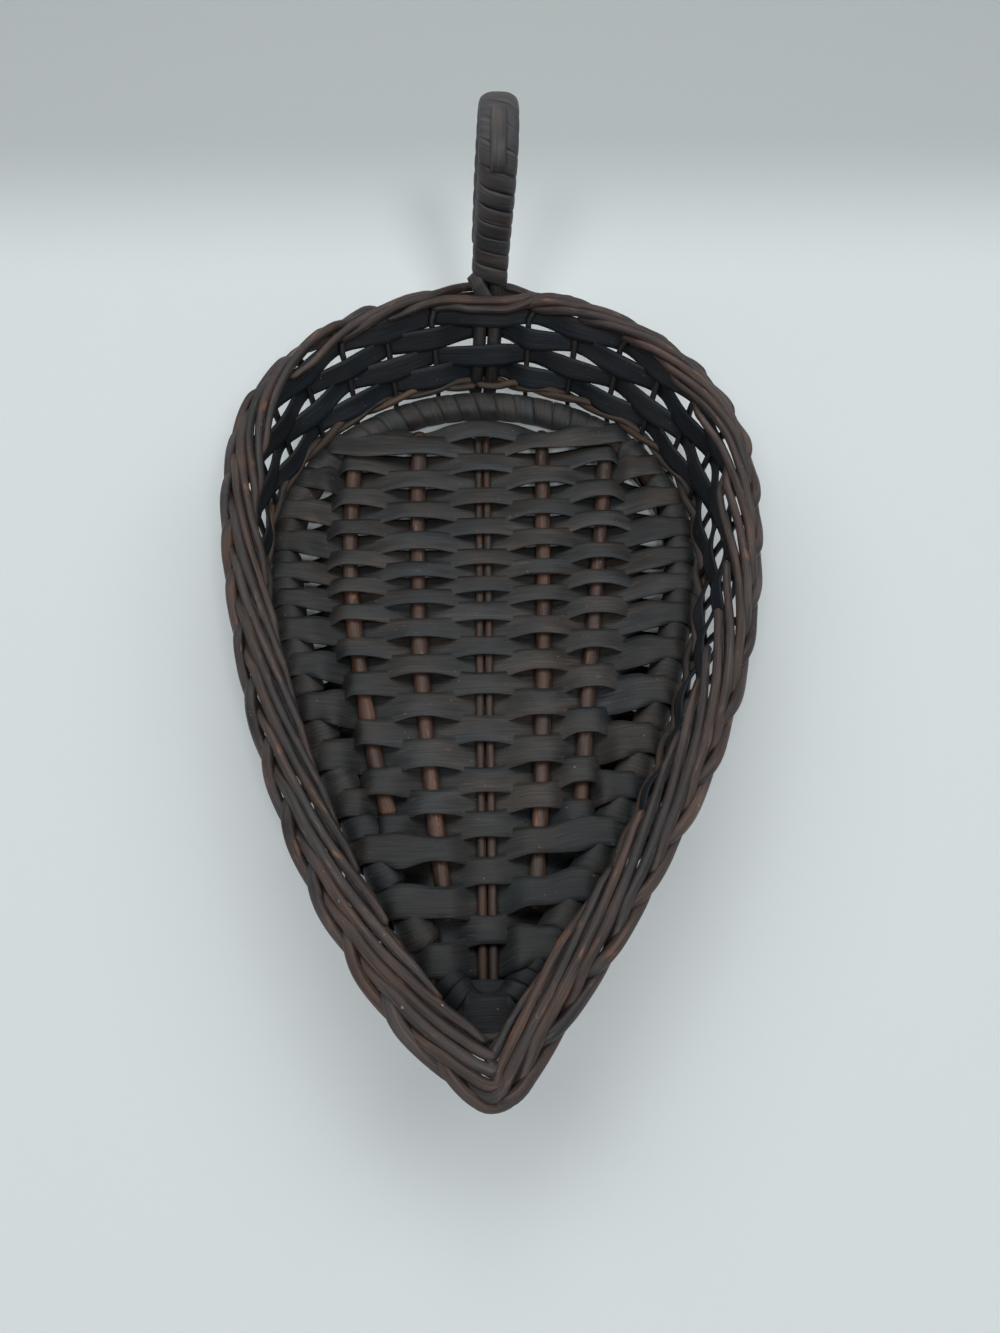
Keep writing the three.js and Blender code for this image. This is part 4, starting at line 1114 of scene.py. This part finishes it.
def make_floor():
    """A pale round floor, greyer behind the basket with painted shade, where the photograph's sweep turns up.
    """
    radius, sides = 2.4, 96
    turns = np.arange(sides) / sides * 2 * math.pi
    edge = radius * np.column_stack((np.cos(turns), np.sin(turns), np.zeros(sides)))
    mesh = bpy.data.meshes.new("floor")
    mesh.from_pydata(edge.tolist(), [], [list(range(sides))])
    floor = add_object("floor", mesh)
    material, tree, shader = add_material("floor")
    place = add_node(tree, "NewGeometry").outputs["Position"]
    depth = add_node(tree, "SeparateXYZ", {0: place}).outputs["Y"]
    sweep = {"Value": depth, "From Min": 0.215, "From Max": 0.36}
    share = add_node(tree, "MapRange", sweep, interpolation_type="SMOOTHSTEP")
    # far is the painted shade of the sweep behind the basket
    near, far = (0.752, 0.808, 0.825, 1), (0.5, 0.542, 0.553, 1)
    tree.links.new(mix_colour(tree, share.outputs[0], near, far), shader.inputs["Base Color"])
    shader.inputs["Roughness"].default_value = 0.85
    shader.inputs["Specular IOR Level"].default_value = 0.2
    mesh.materials.append(material)


def make_lights():
    """Square lamps aimed at the middle: two harder ones in front and three soft ones."""
    for name, place, size, power in (
        ("lamp_front_left", (-0.72, -1.88, 2.23), 0.5, 14.4),
        ("lamp_front_right", (0.72, -1.88, 2.23), 0.5, 23.4),
        ("softbox_left", (-0.8, 0.3, 1.1), 0.8, 3.4),
        ("softbox_right", (0.8, 0.3, 1.1), 0.8, 3.4),
        ("softbox_rear", (0.0, 0.7, 1.4), 1.0, 7.0),
    ):
        data = bpy.data.lights.new(name, "AREA")
        data.size = size
        data.energy = power
        turn = (-Vector(place)).to_track_quat("-Z", "Y").to_matrix().to_4x4()
        add_object(name, data).matrix_world = Matrix.Translation(place) @ turn


def make_world():
    """A dim soft sky, which the camera and reflections see as pale near the horizon."""
    dim, pale = 0.1, 0.6
    world = bpy.data.worlds.new("studio")
    bpy.context.scene.world = world
    world.use_nodes = True
    tree = world.node_tree
    direction = add_node(tree, "TexCoord").outputs["Generated"]
    height = add_node(tree, "SeparateXYZ", {0: direction}).outputs["Z"]
    fade = {"Value": height, "From Min": 0.35, "From Max": 0.7, "To Min": 1.0, "To Max": 0.0}
    low = add_node(tree, "MapRange", fade, interpolation_type="SMOOTHSTEP")
    path = add_node(tree, "LightPath").outputs
    seen = path["Is Camera Ray"]
    for kind in ("Is Glossy Ray", "Is Transmission Ray"):
        seen = add_node(tree, "Math", {0: seen, 1: path[kind]}, operation="MAXIMUM").outputs[0]
    share = add_node(tree, "Math", {0: low.outputs[0], 1: seen}, operation="MULTIPLY")
    levels = {"Value": share.outputs[0], "To Min": dim, "To Max": pale}
    strength = add_node(tree, "MapRange", levels)
    backdrop = tree.nodes["Background"]
    backdrop.inputs["Color"].default_value = (0.93, 0.98, 1.0, 1)
    tree.links.new(strength.outputs[0], backdrop.inputs["Strength"])


make_camera()
make_floor()
make_lights()
make_world()
make_hoop()
make_sticks()
base_rows = [base_row(number) for number in range(1, BASE_ROWS + 1)]
make_base_splints(base_rows)
make_hoop_windings(base_rows)
make_twine()
make_wall_rows()
make_stakes()
make_handle()

bpy.context.scene.view_settings.view_transform = "Standard"
